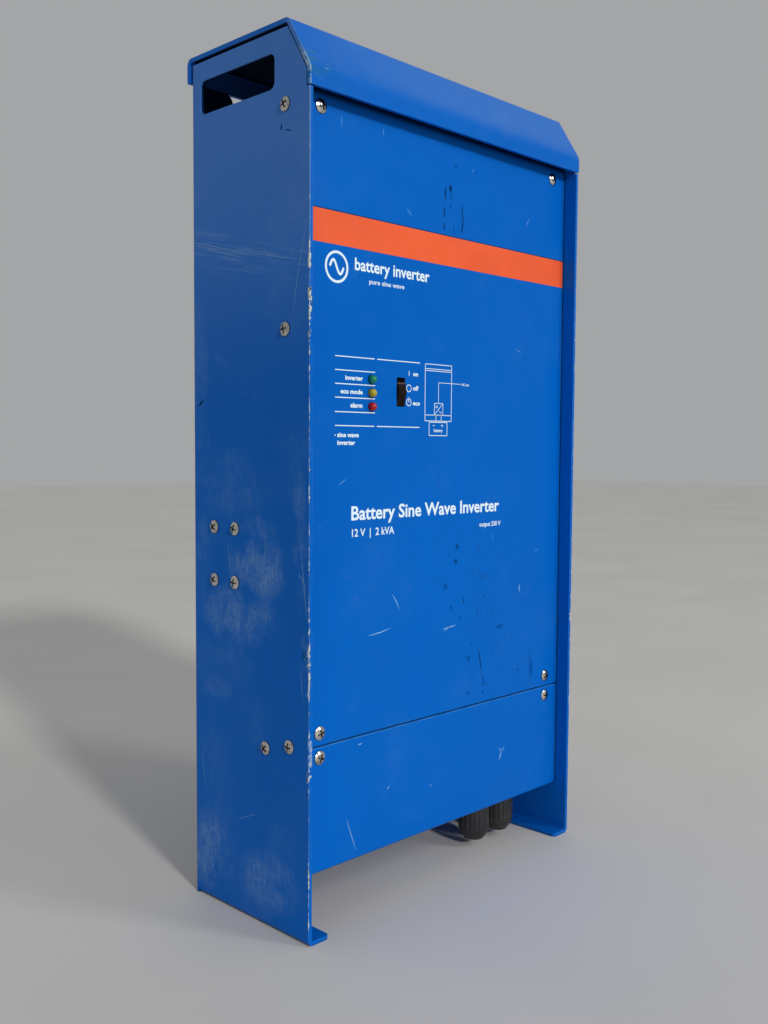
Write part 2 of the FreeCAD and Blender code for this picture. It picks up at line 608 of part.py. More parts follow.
def make_grommets():
    """Rubber grommets for the battery cables."""
    rings = []
    low, high = TRAY_BOTTOM - 3, TRAY_BOTTOM + THIN + 3
    for x in GROMMET_X:
        profile = [(GROMMET_BORE_R, low), (GROMMET_FLANGE_R, low), (GROMMET_FLANGE_R, TRAY_BOTTOM),
                   (GROMMET_HOLE_R, TRAY_BOTTOM), (GROMMET_HOLE_R, TRAY_BOTTOM + THIN),
                   (GROMMET_FLANGE_R - 0.5, TRAY_BOTTOM + THIN), (GROMMET_FLANGE_R - 1.5, high),
                   (GROMMET_BORE_R, high)]
        outline = [Vector(x + r, GROMMET_Y, z) for r, z in profile]
        rings.append(Part.Face(Part.makePolygon(outline + outline[:1]))
                     .revolve(Vector(x, GROMMET_Y, 0), Z, 360))
    save("battery_grommets", *rings)


def make_earth_stud():
    """A stud whose free end hangs below its nut."""
    inside = TRAY_BOTTOM + THIN
    seat = TRAY_BOTTOM - 5.0
    stud = rod((EARTH_X, EARTH_Y, EARTH_TIP), Z, EARTH_R, seat - EARTH_TIP)
    stud = stud.fuse(rod((EARTH_X, EARTH_Y, seat), Z, EARTH_ROOT_R, inside - seat + 10))
    stud = stud.fuse(hexagon((EARTH_X, EARTH_Y, inside), Z, 10.0, 4.0))
    save("earth_stud", stud.removeSplitter())
    nut = hexagon((EARTH_X, EARTH_Y, TRAY_BOTTOM), Z * -1, 10.0, TRAY_BOTTOM - seat)
    save("earth_nut", nut.cut(rod((EARTH_X, EARTH_Y, seat - 1), Z, EARTH_ROOT_R + 0.05, 10)))


# ---- direct-current side -----------------------------------------------------------------------
def make_dc_side():
    """Terminal base, studs, nuts, busbars and main fuse."""
    x_low, x_high = STUD_X[0] - 15, STUD_X[1] + 15
    base = rounded_box(x_low, x_high, BAR_BACK + 0.2, TRAY_BACK - THIN - 0.2, *BASE_Z, Y, 2.0)
    rib_x = sum(STUD_X) / 2
    rib = box(rib_x - 1.5, rib_x + 1.5, -6, BAR_BACK + 1, *BASE_Z)
    base = base.fuse(rib).removeSplitter()
    base = cut_all(base, [rod((x, BAR_BACK, STUD_Z), Y, STUD_ROOT_R + 0.1, 16) for x in STUD_X])
    save("dc_terminal_base", base)

    studs, nuts = [], []
    for x in STUD_X:
        seat = BAR_FRONT - 8.4
        stud = rod((x, STUD_TIP, STUD_Z), Y, STUD_R, seat - STUD_TIP)
        stud = stud.fuse(rod((x, seat, STUD_Z), Y, STUD_ROOT_R, BAR_BACK + 12 - seat))
        tip = [e for e in stud.Edges if abs(e.BoundBox.YMax - STUD_TIP) < 0.01]
        studs.append(stud.makeChamfer(0.7, tip))
        washer = ring((x, BAR_FRONT - 1.6, STUD_Z), Y, 8.0, STUD_ROOT_R + 0.1, 1.6)
        nut = hexagon((x, seat, STUD_Z), Y, 14.0, BAR_FRONT - 1.6 - seat)
        nuts += [washer, nut.cut(rod((x, seat - 1, STUD_Z), Y, STUD_ROOT_R + 0.05, 10))]
    save("battery_studs", *studs)
    save("battery_stud_nuts", *nuts)

    hole = [rod((x, BAR_FRONT - 1, STUD_Z), Y, STUD_ROOT_R + 0.1, 5) for x in STUD_X]
    low = box(-115, -97, BAR_FRONT, BAR_BACK, 70, FUSE_Z[0] + 8)
    high = box(-115, -97, BAR_FRONT, BAR_BACK, FUSE_Z[1] - 8, 330)
    save("positive_busbar", cut_all(low, hole), high)
    minus = box(-62, -48, BAR_FRONT, BAR_BACK, 70, 112).fuse(box(-90, -78, BAR_FRONT, BAR_BACK, 98, 330))
    minus = minus.fuse(box(-90, -48, BAR_FRONT, BAR_BACK, 98, 112))
    save("negative_busbar", cut_all(minus.removeSplitter(), hole))

    front = BAR_FRONT - 2.0
    link = box(-113, -99, front, BAR_FRONT, FUSE_Z[0] - 6, FUSE_Z[0] + 8)
    link = link.fuse(box(-113, -99, front, BAR_FRONT, FUSE_Z[1] - 8, FUSE_Z[1] + 6))
    body = rounded_box(-114, -98, front - 10, front + 3, FUSE_Z[0] + 9, FUSE_Z[1] - 9, Z, 2.0)
    bolts = []
    for z in (FUSE_Z[0], FUSE_Z[1]):
        bolts.append(hexagon((-106, front, z), Y * -1, 10.0, 4.0))
    fuse = body.fuse(link).removeSplitter()
    save("main_fuse", fuse)
    save("fuse_bolts", *bolts)


# ---- alternating-current terminal --------------------------------------------------------------
def make_ac_terminal():
    """Three-pole spring clamp with a lever on each pole."""
    x0, x1 = POLE_X[0] - POLE_WIDTH / 2, POLE_X[-1] + POLE_WIDTH / 2
    y0, y1 = BLOCK_Y
    z0, z1 = BLOCK_Z
    block = rounded_box(x0, x1, y0, y1, z0, z1, Y, 1.2)
    pivot_y, pivot_z = LEVER_PIVOT
    cuts = []
    cheeks = []
    for x in POLE_X:
        half = LEVER_WIDTH / 2 + 0.5
        cuts.append(box(x - half, x + half, y0 - 1, pivot_y + 6, z1 - 7, z1 + 5))
        cuts.append(rod((x, y0 - 1, z0 + 11), Y, 3.4, 16))
        for side in (-1, 1):
            a = x + side * (half + 0.9)
            cheeks.append(box(a - 0.9, a + 0.9, pivot_y - 4, pivot_y + 4, z1 - 8, z1 + 4))
    for cheek in cheeks:
        block = block.fuse(cheek)
    block = cut_all(block.removeSplitter(), cuts)
    pin_hole = rod((x0 - 2, pivot_y, pivot_z), X, LEVER_PIN_R + 0.08, x1 - x0 + 4)
    save("ac_terminal_block", block.cut(pin_hole))
    save("ac_lever_pin", rod((x0 + 0.5, pivot_y, pivot_z), X, LEVER_PIN_R, x1 - x0 - 1))
    for name, x in zip(("line", "neutral", "earth"), POLE_X):
        save("ac_lever_" + name, lever(x, pivot_y, pivot_z))


def lever(x, pivot_y, pivot_z):
    """A lever that lies forward when closed and turns up to open."""
    half = LEVER_WIDTH / 2
    arm = box(x - half, x + half, pivot_y - LEVER_LENGTH, pivot_y, pivot_z - 1.6, pivot_z + 1.6)
    lip = rod((x - half, pivot_y - LEVER_LENGTH, pivot_z), X, 1.6, LEVER_WIDTH)
    hub = rod((x - half, pivot_y, pivot_z), X, 2.6, LEVER_WIDTH)
    body = arm.fuse(lip).fuse(hub).removeSplitter()
    return body.cut(rod((x - half - 1, pivot_y, pivot_z), X, LEVER_PIN_R + 0.06, LEVER_WIDTH + 2))


# ---- fan ---------------------------------------------------------------------------------------
def make_fan():
    """Square axial fan standing on the shelf."""
    half = FAN_SIZE / 2
    z1 = FAN_Z + FAN_HEIGHT
    frame = rounded_box(FAN_X - half, FAN_X + half, FAN_Y - half, FAN_Y + half, FAN_Z, z1, Z, 5.0)
    frame = frame.cut(rod((FAN_X, FAN_Y, FAN_Z - 1), Z, FAN_BORE_R, FAN_HEIGHT + 2))
    hub = rod((FAN_X, FAN_Y, FAN_Z), Z, 15.0, 3.0)
    for i in range(4):
        arm = box(FAN_X, FAN_X + FAN_BORE_R + 1, FAN_Y - 1.5, FAN_Y + 1.5, FAN_Z, FAN_Z + 2.5)
        arm.rotate(Vector(FAN_X, FAN_Y, 0), Z, 90 * i + 20)
        hub = hub.fuse(arm)
    hub = hub.fuse(rod((FAN_X, FAN_Y, FAN_Z), Z, 4.0, 8.0))
    frame = frame.fuse(hub).removeSplitter()
    axle_hole = rod((FAN_X, FAN_Y, FAN_Z + 1), Z, 1.55, 30)
    frame = cut_all(frame, [rod((x, y, FAN_Z - 1), Z, HOLE_R, 40) for x, y in fan_corners()] + [axle_hole])
    save("fan_frame", frame)

    rotor = rod((FAN_X, FAN_Y, FAN_Z + 8.6), Z, 15.5, 14.4)
    rotor = rotor.cut(rod((FAN_X, FAN_Y, FAN_Z + 8), Z, 13.5, 12))
    rotor = rotor.fuse(rod((FAN_X, FAN_Y, FAN_Z + 2), Z, 1.5, 20))
    for i in range(7):
        blade = prism([(14.5, -1.0), (36.5, -1.2), (36.5, 1.2), (14.5, 1.0)], Z, 0, 17)
        blade.rotate(Vector(0, 0, 8.5), X, 38)
        blade.translate(Vector(FAN_X, FAN_Y, FAN_Z + 6.5))
        blade.rotate(Vector(FAN_X, FAN_Y, 0), Z, 360.0 / 7 * i)
        rotor = rotor.fuse(blade)
    save("fan_rotor", rotor.removeSplitter())


# ---- transformer -------------------------------------------------------------------------------
def make_transformer():
    """Toroidal transformer on its cradle, with pads, clamp plate and bolt."""
    y0, y1 = CORE_Y
    centre = (0, y0, CORE_Z)
    core = ring(centre, Y, CORE_R, CORE_BORE_R, y1 - y0)
    rims = [e for e in core.Edges if e.Length > 100 and len(e.Vertexes) == 1]
    save("transformer", core.makeFillet(11.0, rims))
    save("transformer_pads", ring((0, y1, CORE_Z), Y, 60.0, 6.0, PAD),
         ring((0, y0 - PAD, CORE_Z), Y, 60.0, 6.0, PAD))
    plate = ring((0, y0 - PAD - 2.5, CORE_Z), Y, 52.0, 4.2, 2.5)
    save("transformer_clamp_plate", plate)

    web = y1 + PAD
    outer = INNER - 0.2
    path = [(-outer, -3.0), (-outer, web + CRADLE_T), (outer, web + CRADLE_T), (outer, -3.0)]
    cradle = folded(path, -CRADLE_T, 1.0, Z, *CRADLE_Z)
    cradle = cradle.fuse(rounded_box(-72, 72, web, web + CRADLE_T, 152, 286, Y, 12.0))
    cradle = cut_all(cradle.removeSplitter(), [side_hole(y, z) for y, z in CRADLE_SCREWS]
                     + [rod((0, web - 1, CORE_Z), Y, 4.2, 5)])
    save("transformer_cradle", cradle)
    head = y0 - PAD - 2.5
    bolt = hexagon((0, head, CORE_Z), Y * -1, 13.0, 5.5).fuse(rod((0, head, CORE_Z), Y, 4.0, web + 1.5 - head))
    save("transformer_bolt", bolt.removeSplitter())
    save("transformer_nut", hexagon((0, web - PAD - 6.5, CORE_Z), Y, 13.0, 6.5)
         .cut(rod((0, 0, CORE_Z), Y, 4.05, 60)))


# ---- power stage -------------------------------------------------------------------------------
def make_heatsink():
    x0, x1, z0, z1 = SINK
    sink = box(x0, x1, SINK_FACE, SINK_FACE + SINK_BASE, z0, z1)
    count = int((x1 - x0) / FIN_PITCH) + 1
    fins = [box(x0 + i * FIN_PITCH, x0 + i * FIN_PITCH + FIN_T, SINK_FACE + SINK_BASE - 0.5, SINK_BACK,
                z0, z1) for i in range(count) if x0 + i * FIN_PITCH + FIN_T <= x1]
    save("heatsink", sink.fuse(fins).removeSplitter())


def make_transistors():
    """Two rows of power transistors clamped to the heatsink."""
    parts = []
    for i in range(10):
        x = -58.0 + 18.0 * i
        for z in (335.0, 420.0):
            body = box(x - 5, x + 5, SINK_FACE - 4.5, SINK_FACE - 1.3, z, z + 9)
            body = body.fuse(box(x - 5, x + 5, SINK_FACE - 1.3, SINK_FACE, z, z + 15))
            parts.append(body.removeSplitter().cut(rod((x, SINK_FACE - 2, z + 12), Y, 1.8, 4)))
    save("power_transistors", *parts)


def board(limits, y, corners):
    x0, x1, z0, z1 = limits
    panel = rounded_box(x0, x1, y, y + BOARD_T, z0, z1, Y, 1.5)
    return cut_all(panel, [rod((x, y - 1, z), Y, 1.7, 5) for x, z in corners])


def inset_corners(limits, inset=5.0):
    x0, x1, z0, z1 = limits
    return [(x, z) for x in (x0 + inset, x1 - inset) for z in (z0 + inset, z1 - inset)]


def make_boards():
    """Power, control and display boards with what stands on them."""
    power_corners = inset_corners(POWER_BOARD)[1:]
    save("power_board", board(POWER_BOARD, POWER_BOARD_Y, power_corners))
    control = inset_corners(CONTROL_BOARD)
    logic = board(CONTROL_BOARD, CONTROL_Y, control)
    for x, z, w, h, t in ((50, 380, 14, 14, 2.2), (82, 352, 8, 18, 3.5), (40, 340, 8, 12, 3.0),
                          (84, 410, 16, 10, 6.0), (26, 372, 8, 32, 8.0)):
        logic = logic.fuse(box(x, x + w, CONTROL_Y - t, CONTROL_Y, z, z + h))
    save("control_board", logic.removeSplitter())
    display = inset_corners(DISPLAY_BOARD, 4.0)
    save("display_board", board(DISPLAY_BOARD, DISPLAY_Y, display))

    behind = POWER_BOARD_Y + BOARD_T
    posts = [ring((x, behind, z), Y, 4.0, 1.7, SINK_FACE - behind) for x, z in power_corners[1:]]
    posts += [ring((x, CONTROL_Y + BOARD_T, z), Y, 3.5, 1.7, POWER_BOARD_Y - CONTROL_Y - BOARD_T)
              for x, z in control]
    posts += [ring((x, COVER_BACK, z), Y, 3.0, 1.5, DISPLAY_Y - COVER_BACK) for x, z in display]
    save("board_posts", *posts)

    cans = []
    for x in CAN_X:
        for z in CAN_Z:
            can = rod((x, POWER_BOARD_Y - CAN_LENGTH, z), Y, CAN_R, CAN_LENGTH)
            can = can.cut(ring((x, POWER_BOARD_Y - CAN_LENGTH + 3.0, z), Y, CAN_R + 1, CAN_R - 0.8, 1.5))
            cans.append(can)
    save("capacitors", *cans)

    choke = ring((72, POWER_BOARD_Y - 24, 352), Y, 26.0, 11.0, 24)
    rims = [e for e in choke.Edges if len(e.Vertexes) == 1]
    save("output_choke", choke.makeFillet(6.0, rims))
    save("relays", *[rounded_box(28 + i * 26, 48 + i * 26, POWER_BOARD_Y - 20, POWER_BOARD_Y,
                                 400, 430, Y, 1.0) for i in range(3)])


# ---- indicators and switch ---------------------------------------------------------------------
def led(z):
    """A round-topped five-millimetre lamp with a rim and two legs."""
    straight = DISPLAY_Y - 6.0
    body = rod((LED_X, LED_TIP + LED_R, z), Y, LED_R, straight - LED_TIP - LED_R)
    body = body.fuse(Part.makeSphere(LED_R, Vector(LED_X, LED_TIP + LED_R, z)))
    body = body.fuse(rod((LED_X, straight, z), Y, LED_R + 0.4, 1.0))
    for dx in (-1.27, 1.27):
        body = body.fuse(rod((LED_X + dx, straight + 0.5, z), Y, 0.3, DISPLAY_Y - straight - 0.5))
    return body.removeSplitter()


def make_indicators():
    for name, z in zip(("green", "yellow", "red"), LED_Z):
        save("led_" + name, led(z))


def make_switch():
    """Three-position rocker in its housing behind the cover."""
    wide, high = SWITCH_SLOT
    back = DISPLAY_Y
    front = COVER_BACK + 0.1
    shell = box(SWITCH_X - wide / 2 - 1.5, SWITCH_X + wide / 2 + 1.5, front, back,
                SWITCH_Z - high / 2 - 2.5, SWITCH_Z + high / 2 + 2.5)
    well = box(SWITCH_X - wide / 2, SWITCH_X + wide / 2, front - 1, back - 1.5,
               SWITCH_Z - high / 2, SWITCH_Z + high / 2)
    pin_hole = rod((SWITCH_X - wide, SWITCH_PIVOT_Y, SWITCH_Z), X, ROCKER_PIN_R + 0.06, wide * 2)
    save("switch_housing", shell.cut(well).cut(pin_hole))

    half = wide / 2 - 0.35
    reach = high / 2 - 0.7
    proud = COVER_FRONT - 1.6
    ends = COVER_FRONT + 0.3
    path = [(proud, -1.2), (proud, 1.2), (ends, reach), (ends + 3.6, reach - 0.3), (ends + 5.4, 0),
            (ends + 3.6, -reach + 0.3), (ends, -reach)]
    body = prism([(y, SWITCH_Z + z) for y, z in path], X, SWITCH_X - half, SWITCH_X + half)
    pin = rod((SWITCH_X - wide / 2 - 1.2, SWITCH_PIVOT_Y, SWITCH_Z), X, ROCKER_PIN_R, wide + 2.4)
    save("rocker", body.fuse(pin).removeSplitter())


# ---- wiring ------------------------------------------------------------------------------------
def make_wiring():
    """Alternating-current wires, transformer leads, fan lead and display ribbon."""
    wires = []
    for i, x in enumerate(POLE_X):
        lane = WIRE_HOLE[0] - 4.5 + 4.5 * i
        low = 50.0 + 4.5 * i
        wires.append(wire([(x, BLOCK_Y[0] + 6, BLOCK_Z[0] + 11), (x, 4 - 4.5 * i, BLOCK_Z[0] + 11),
                           (x, -6 - 4.5 * i, low), (lane, WIRE_HOLE[1], low + 6),
                           (lane, WIRE_HOLE[1], 296 + 4 * i), (lane, -18, 306 + 4 * i),
                           (lane, POWER_BOARD_Y, 306 + 4 * i)], WIRE_R))
    save("ac_wires", *wires)
    leads = []
    for x in (-40.0, -26.0, 44.0, 58.0):
        start = CORE_Z + math.sqrt(CORE_R ** 2 - (abs(x) - LEAD_R) ** 2) + FIT
        leads.append(wire([(x, -6, start), (x, -6, 318), (x, POWER_BOARD_Y, 318)], LEAD_R))
    save("transformer_leads", *leads)


def main():
    os.makedirs("parts", exist_ok=True)
    make_chassis()
    make_hood()
    make_front_cover()
    make_connection_cover()
    make_cover_rails()
    make_connection_tray()
    make_vent_plate()
    make_fasteners()
    make_wall_fixing()
    make_glands()
    make_grommets()
    make_earth_stud()
    make_dc_side()
    make_ac_terminal()
    make_fan()
    make_transformer()
    make_heatsink()
    make_transistors()
    make_boards()
    make_indicators()
    make_switch()
    make_wiring()


main()
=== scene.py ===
import bpy
import bmesh
import math
import random
from mathutils import Matrix, Vector


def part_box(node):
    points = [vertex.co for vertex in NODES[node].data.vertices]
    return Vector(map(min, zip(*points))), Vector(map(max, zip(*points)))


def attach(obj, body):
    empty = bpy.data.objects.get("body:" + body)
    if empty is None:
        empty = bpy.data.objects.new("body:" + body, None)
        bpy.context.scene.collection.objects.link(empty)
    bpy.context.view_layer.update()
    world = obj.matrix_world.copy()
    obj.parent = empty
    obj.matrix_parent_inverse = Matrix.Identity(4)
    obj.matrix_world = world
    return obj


# Looks of a battery inverter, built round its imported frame, with +Z up and the front towards -Y.
# The frame, the shaders and the stage are in metres. The thin pieces on the surface, which are
# printing, scratches, drips and spots, are placed in millimetres: (X, Z) on the front and (Y, Z)
# on the left side.

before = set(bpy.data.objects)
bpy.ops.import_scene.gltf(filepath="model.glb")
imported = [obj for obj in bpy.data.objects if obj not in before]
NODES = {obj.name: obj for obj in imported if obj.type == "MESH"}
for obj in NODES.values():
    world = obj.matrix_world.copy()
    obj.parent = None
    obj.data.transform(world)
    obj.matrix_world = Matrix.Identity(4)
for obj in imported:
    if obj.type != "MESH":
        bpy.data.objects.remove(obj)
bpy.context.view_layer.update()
MM = 0.001

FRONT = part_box("front_cover")[0][1]          # outer face of both covers
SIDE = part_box("chassis")[0][0]               # outer face of the left side panel
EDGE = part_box("chassis")[0][1]               # front edges of the side panels
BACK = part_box("chassis")[1][1]               # outer face of the back panel
SEAM_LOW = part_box("connection_cover")[1][2]  # top edge of the lower cover
LIP_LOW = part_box("top_hood")[0][2]           # bottom edge of the hood's lip
HOOD_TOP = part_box("top_hood")[1][2]          # the hood's top face
CORE_LOW, CORE_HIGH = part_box("transformer")  # corners of the ring core

# the outer faces of the side panels and of the hood's ends, and a little under them
SKIN = (-SIDE - 0.0013, -SIDE - 0.0005)
# z - SLOPE * y has one value all over a plane with the hood's slope: just inside its sheet, and on it
SLOPE = 1.62
SLOPE_SKIN = (0.5868, 0.5878)
# front and back of the space under the hood
SPACE_FRONT, SPACE_BACK = -0.0485, BACK - 0.0015


# ---- shader helpers ------------------------------------------------------------------------------
class Shader:
    """A material with one Principled shader and short calls to add nodes."""

    def __init__(self, name, **sockets):
        self.mat = bpy.data.materials.new(name)
        self.mat.use_nodes = True
        self.tree = self.mat.node_tree
        self.bsdf = self.tree.nodes["Principled BSDF"]
        for key, value in sockets.items():
            self.set(key.replace("_", " "), value)
        self.position = self.add("ShaderNodeTexCoord").outputs["Object"]
        split = self.add("ShaderNodeSeparateXYZ")
        self.link(self.position, split.inputs[0])
        self.x, self.y, self.z = split.outputs

    def add(self, kind, **values):
        node = self.tree.nodes.new(kind)
        for key, value in values.items():
            setattr(node, key, value)
        return node

    def link(self, a, b):
        self.tree.links.new(a, b)

    def put(self, socket, value):
        """Link a socket to another, or give it a number or a colour."""
        if isinstance(value, bpy.types.NodeSocket):
            self.link(value, socket)
        elif isinstance(value, tuple) and len(value) == 3 and socket.type == "RGBA":
            socket.default_value = (*value, 1)
        else:
            socket.default_value = value

    def set(self, name, value):
        self.put(self.bsdf.inputs[name], value)

    def math(self, operation, a, b=0.0, clamp=False):
        node = self.add("ShaderNodeMath", operation=operation, use_clamp=clamp)
        self.put(node.inputs[0], a)
        self.put(node.inputs[1], b)
        return node.outputs[0]

    def times(self, *factors):
        value = factors[0]
        for factor in factors[1:]:
            value = self.math("MULTIPLY", value, factor)
        return value

    def largest(self, *values):
        value = values[0]
        for other in values[1:]:
            value = self.math("MAXIMUM", value, other)
        return value

    def minus(self, a, b):
        return self.math("SUBTRACT", a, b)

    def absolute(self, value):
        return self.math("ABSOLUTE", value)

    def noise(self, scale, detail=3.0, rough=0.5, stretch=None, turn=None, offset=0.0):
        """Noise at scale, or at a scale per axis (stretch) in a frame turned by turn."""
        node = self.add("ShaderNodeTexNoise")
        node.inputs["Scale"].default_value = scale
        node.inputs["Detail"].default_value = detail
        node.inputs["Roughness"].default_value = rough
        where = self.position
        if stretch or turn or offset:
            mapping = self.add("ShaderNodeMapping", vector_type="TEXTURE")
            mapping.inputs["Scale"].default_value = [1 / k for k in stretch or (1, 1, 1)]
            mapping.inputs["Rotation"].default_value = turn or (0, 0, 0)
            mapping.inputs["Location"].default_value = (offset, offset, offset)
            self.link(where, mapping.inputs[0])
            where = mapping.outputs[0]
        self.link(where, node.inputs["Vector"])
        return node.outputs["Fac"]

    def step(self, value, low, high, a=0.0, b=1.0):
        """value mapped smoothly from low..high to a..b."""
        node = self.add("ShaderNodeMapRange", interpolation_type="SMOOTHSTEP")
        self.put(node.inputs["Value"], value)
        for key, number in (("From Min", low), ("From Max", high), ("To Min", a), ("To Max", b)):
            self.put(node.inputs[key], number)
        return node.outputs[0]

    def below(self, value, low, high):
        """1 below low, falling to 0 at high."""
        return self.step(value, low, high, 1.0, 0.0)

    def window(self, value, low, high, soft):
        """1 between low and high, 0 outside, soft at both ends."""
        return self.times(self.step(value, low - soft, low + soft),
                          self.below(value, high - soft, high + soft))

    def spot(self, u, v, centre, size):
        """1 at a centre in millimetres on two axes, falling to 0 at size from it."""
        du = self.times(self.minus(u, centre[0] * MM), 1000.0 / size[0])
        dv = self.times(self.minus(v, centre[1] * MM), 1000.0 / size[1])
        far = self.math("ADD", self.times(du, du), self.times(dv, dv))
        return self.below(far, 0.0, 1.0)

    def blend(self, factor, a, b):
        """Colour a to colour b by factor."""
        node = self.add("ShaderNodeMix", data_type="RGBA")
        self.put(node.inputs[0], factor)
        self.put(node.inputs[6], a)
        self.put(node.inputs[7], b)
        return node.outputs[2]

    def number(self, factor, a, b):
        """Number a to number b by factor."""
        node = self.add("ShaderNodeMix", data_type="FLOAT")
        self.put(node.inputs[0], factor)
        self.put(node.inputs[2], a)
        self.put(node.inputs[3], b)
        return node.outputs[0]

    def bump(self, height, strength, distance):
        node = self.add("ShaderNodeBump")
        node.inputs["Strength"].default_value = strength
        node.inputs["Distance"].default_value = distance
        self.link(height, node.inputs["Height"])
        self.link(node.outputs[0], self.bsdf.inputs["Normal"])

    def edges(self, radius, low=0.02, high=0.16):
        """1 on convex and concave edges, from how far a bevelled normal leans away."""
        bevel = self.add("ShaderNodeBevel", samples=4)
        bevel.inputs[0].default_value = radius
        normal = self.add("ShaderNodeNewGeometry").outputs["Normal"]
        dot = self.add("ShaderNodeVectorMath", operation="DOT_PRODUCT")
        self.link(bevel.outputs[0], dot.inputs[0])
        self.link(normal, dot.inputs[1])
        return self.step(self.minus(1.0, dot.outputs["Value"]), low, high)

    def corners(self, reach, low, high, samples):
        """1 in inner corners, within reach of another face."""
        ao = self.add("ShaderNodeAmbientOcclusion", samples=samples)
        ao.inputs["Distance"].default_value = reach
        return self.below(ao.outputs["AO"], low, high)

    def scratches(self, turn, offset, width=0.006, fine=900.0, long=16.0, level=0.62):
        """Fine broken lines that run across the local X and Y of a turned frame."""
        lines = self.noise(1.0, 1.0, 0.4, (long, long, fine), turn, offset)
        line = self.below(self.absolute(self.minus(lines, 0.5)), 0.0, width)
        broken = self.step(self.noise(26.0, 2.0, 0.6, offset=offset + 3), level, level + 0.05)
        return self.times(line, broken)


# ---- blue paint ----------------------------------------------------------------------------------
BLUE = (0.0, 0.122, 0.530)
DEEP = (0.0, 0.098, 0.440)
HAZE_AND_SHEEN = (0.30, 0.46, 0.60)
SCRATCHED = (0.40, 0.52, 0.66)
SHADED = (0.0, 0.005, 0.022)
CORNER_DIRT_AND_SHADE = (0.002, 0.006, 0.016)
SPECK_DIRT = (0.010, 0.022, 0.050)
BARE = (0.56, 0.64, 0.66)
BROWN = (0.10, 0.095, 0.085)

# rubbed patches on the side panels: centre and half size in (Y, Z) mm, strength
PATCHES = (((-16, 218), (32, 30), 1.0), ((2, 183), (44, 22), 0.75), ((6, 155), (24, 13), 0.30),
           ((23, 136), (17, 9), 0.28), ((-60, 168), (7, 16), 1.0), ((30, 30), (28, 30), 1.0),
           ((-26, 27), (34, 22), 0.60), ((-54, 232), (8, 46), 0.62), ((10, 262), (46, 26), 0.30),
           ((44, 330), (16, 60), 0.30), ((40, 214), (14, 40), 0.32))
FLIP = 0.46   # the right side wears as the left, upside down: height z there is FLIP - z here

# stretches of the side panels' front edges that are chipped: from, to, softness in metres, strength
CHIPPED = ((0.340, 0.390, 0.006, 0.85), (0.120, 0.200, 0.010, 0.62), (0.158, 0.178, 0.006, 1.6),
           (0.092, 0.110, 0.006, 1.1), (0.215, 0.330, 0.020, 0.42))
CHIP_REACH = 0.0024   # the widest chip


def wear_of_sides(s, wear):
    """Haze and rubbed patches of the side panels, by height and by place."""
    outer = s.step(s.absolute(s.x), *SKIN)
    back = s.step(s.y, BACK - 0.0010, BACK - 0.0002)
    height = s.number(s.step(s.x, -0.01, 0.01), s.z, s.minus(FLIP, s.z))
    upright = s.step(s.noise(1.0, 5.0, 0.75, (60, 900, 45), (0.05, 0, 0), 3.0), 0.40, 0.68)
    cloud = s.times(s.step(s.noise(34.0, 6.0, 0.70, offset=9.0), 0.36, 0.62),
                    s.step(s.noise(420.0, 4.0, 0.7, offset=13.0), 0.30, 0.62, 0.35, 1.0))
    rubbed_and_highlight = s.largest(*[s.times(s.spot(s.y, height, centre, size), strength)
                         for centre, size, strength in PATCHES])
    rubbed_and_highlight = s.times(rubbed_and_highlight, cloud, s.number(0.6, 1.0, upright))

    # a band of long scuffs under the stripe's height, sloping up to the back
    sloping = s.minus(s.z, s.times(s.y, 0.22))
    scuffs = s.step(s.noise(1.0, 5.0, 0.7, (50, 22, 520), (0.215, 0, 0), 1.0), 0.47, 0.68)
    band = s.times(s.window(sloping, 0.388, 0.404, 0.010), scuffs)

    high = s.step(s.z, 0.30, 0.47)
    film = s.math("ADD", s.times(high, 0.17), s.times(rubbed_and_highlight, 0.62), True)
    film = s.math("ADD", film, s.times(band, 0.30), True)
    film = s.math("ADD", film, s.times(wear, 0.08), True)
    level = s.step(s.noise(1.0, 5.0, 0.72, (14, 60, 420), (0, 0.12, 0), 17.0), 0.50, 0.70)
    behind = s.math("ADD", s.times(wear, 0.30), s.times(level, cloud, 0.16), True)
    return s.number(back, s.times(film, outer), behind)


def haze_and_sheen_of(s, kind):
    """How far the paint has gone pale, from 0 to 1: haze, and on the hood's slope also painted sheen."""
    patch = s.step(s.noise(13.0, 5.0, 0.62, offset=7.0), 0.50, 0.74)
    rub = s.step(s.noise(1.0, 4.0, 0.65, (30, 140, 30), (0.25, 0.2, 0.3), 5.0), 0.50, 0.72)
    wear = s.times(patch, s.number(0.5, 1.0, rub))
    if kind == "sides":
        return wear_of_sides(s, wear)
    if kind == "hood":
        # paler across the hood's slope, more towards the right: partly haze, partly painted sheen
        slope = s.times(s.step(s.z, LIP_LOW + 0.006, LIP_LOW + 0.020),
                        s.step(s.x, -0.125, -0.020, 0.015, 0.09))
        return s.math("ADD", s.times(wear, 0.08), slope, True)
    return s.times(wear, 0.025)


def specks_of(s, kind):
    """Dark specks, and on the covers the dirt rubbed in low at the right and in the middle."""
    speck = s.step(s.noise(420.0, 2.0, 0.5, offset=11.0), 0.70, 0.76)
    dirt_and_shade_mask = s.step(s.noise(16.0, 3.0, 0.6, offset=15.0), 0.55, 0.68)
    specks = s.times(speck, dirt_and_shade_mask, 0.45)
    if kind != "cover":
        return specks
    low_right = s.times(s.window(s.x, 0.020, 0.056, 0.014), s.window(s.z, 0.118, 0.225, 0.02))
    middle = s.times(s.window(s.x, -0.040, 0.060, 0.03), s.window(s.z, 0.215, 0.285, 0.02), 0.4)
    grime = s.step(s.noise(1.0, 6.0, 0.75, (420, 420, 150), offset=21.0), 0.54, 0.61)
    soft = s.step(s.noise(1.0, 4.0, 0.6, (40, 40, 22), offset=27.0), 0.42, 0.58)
    return s.largest(specks, s.times(grime, s.largest(low_right, middle), soft, 0.45))


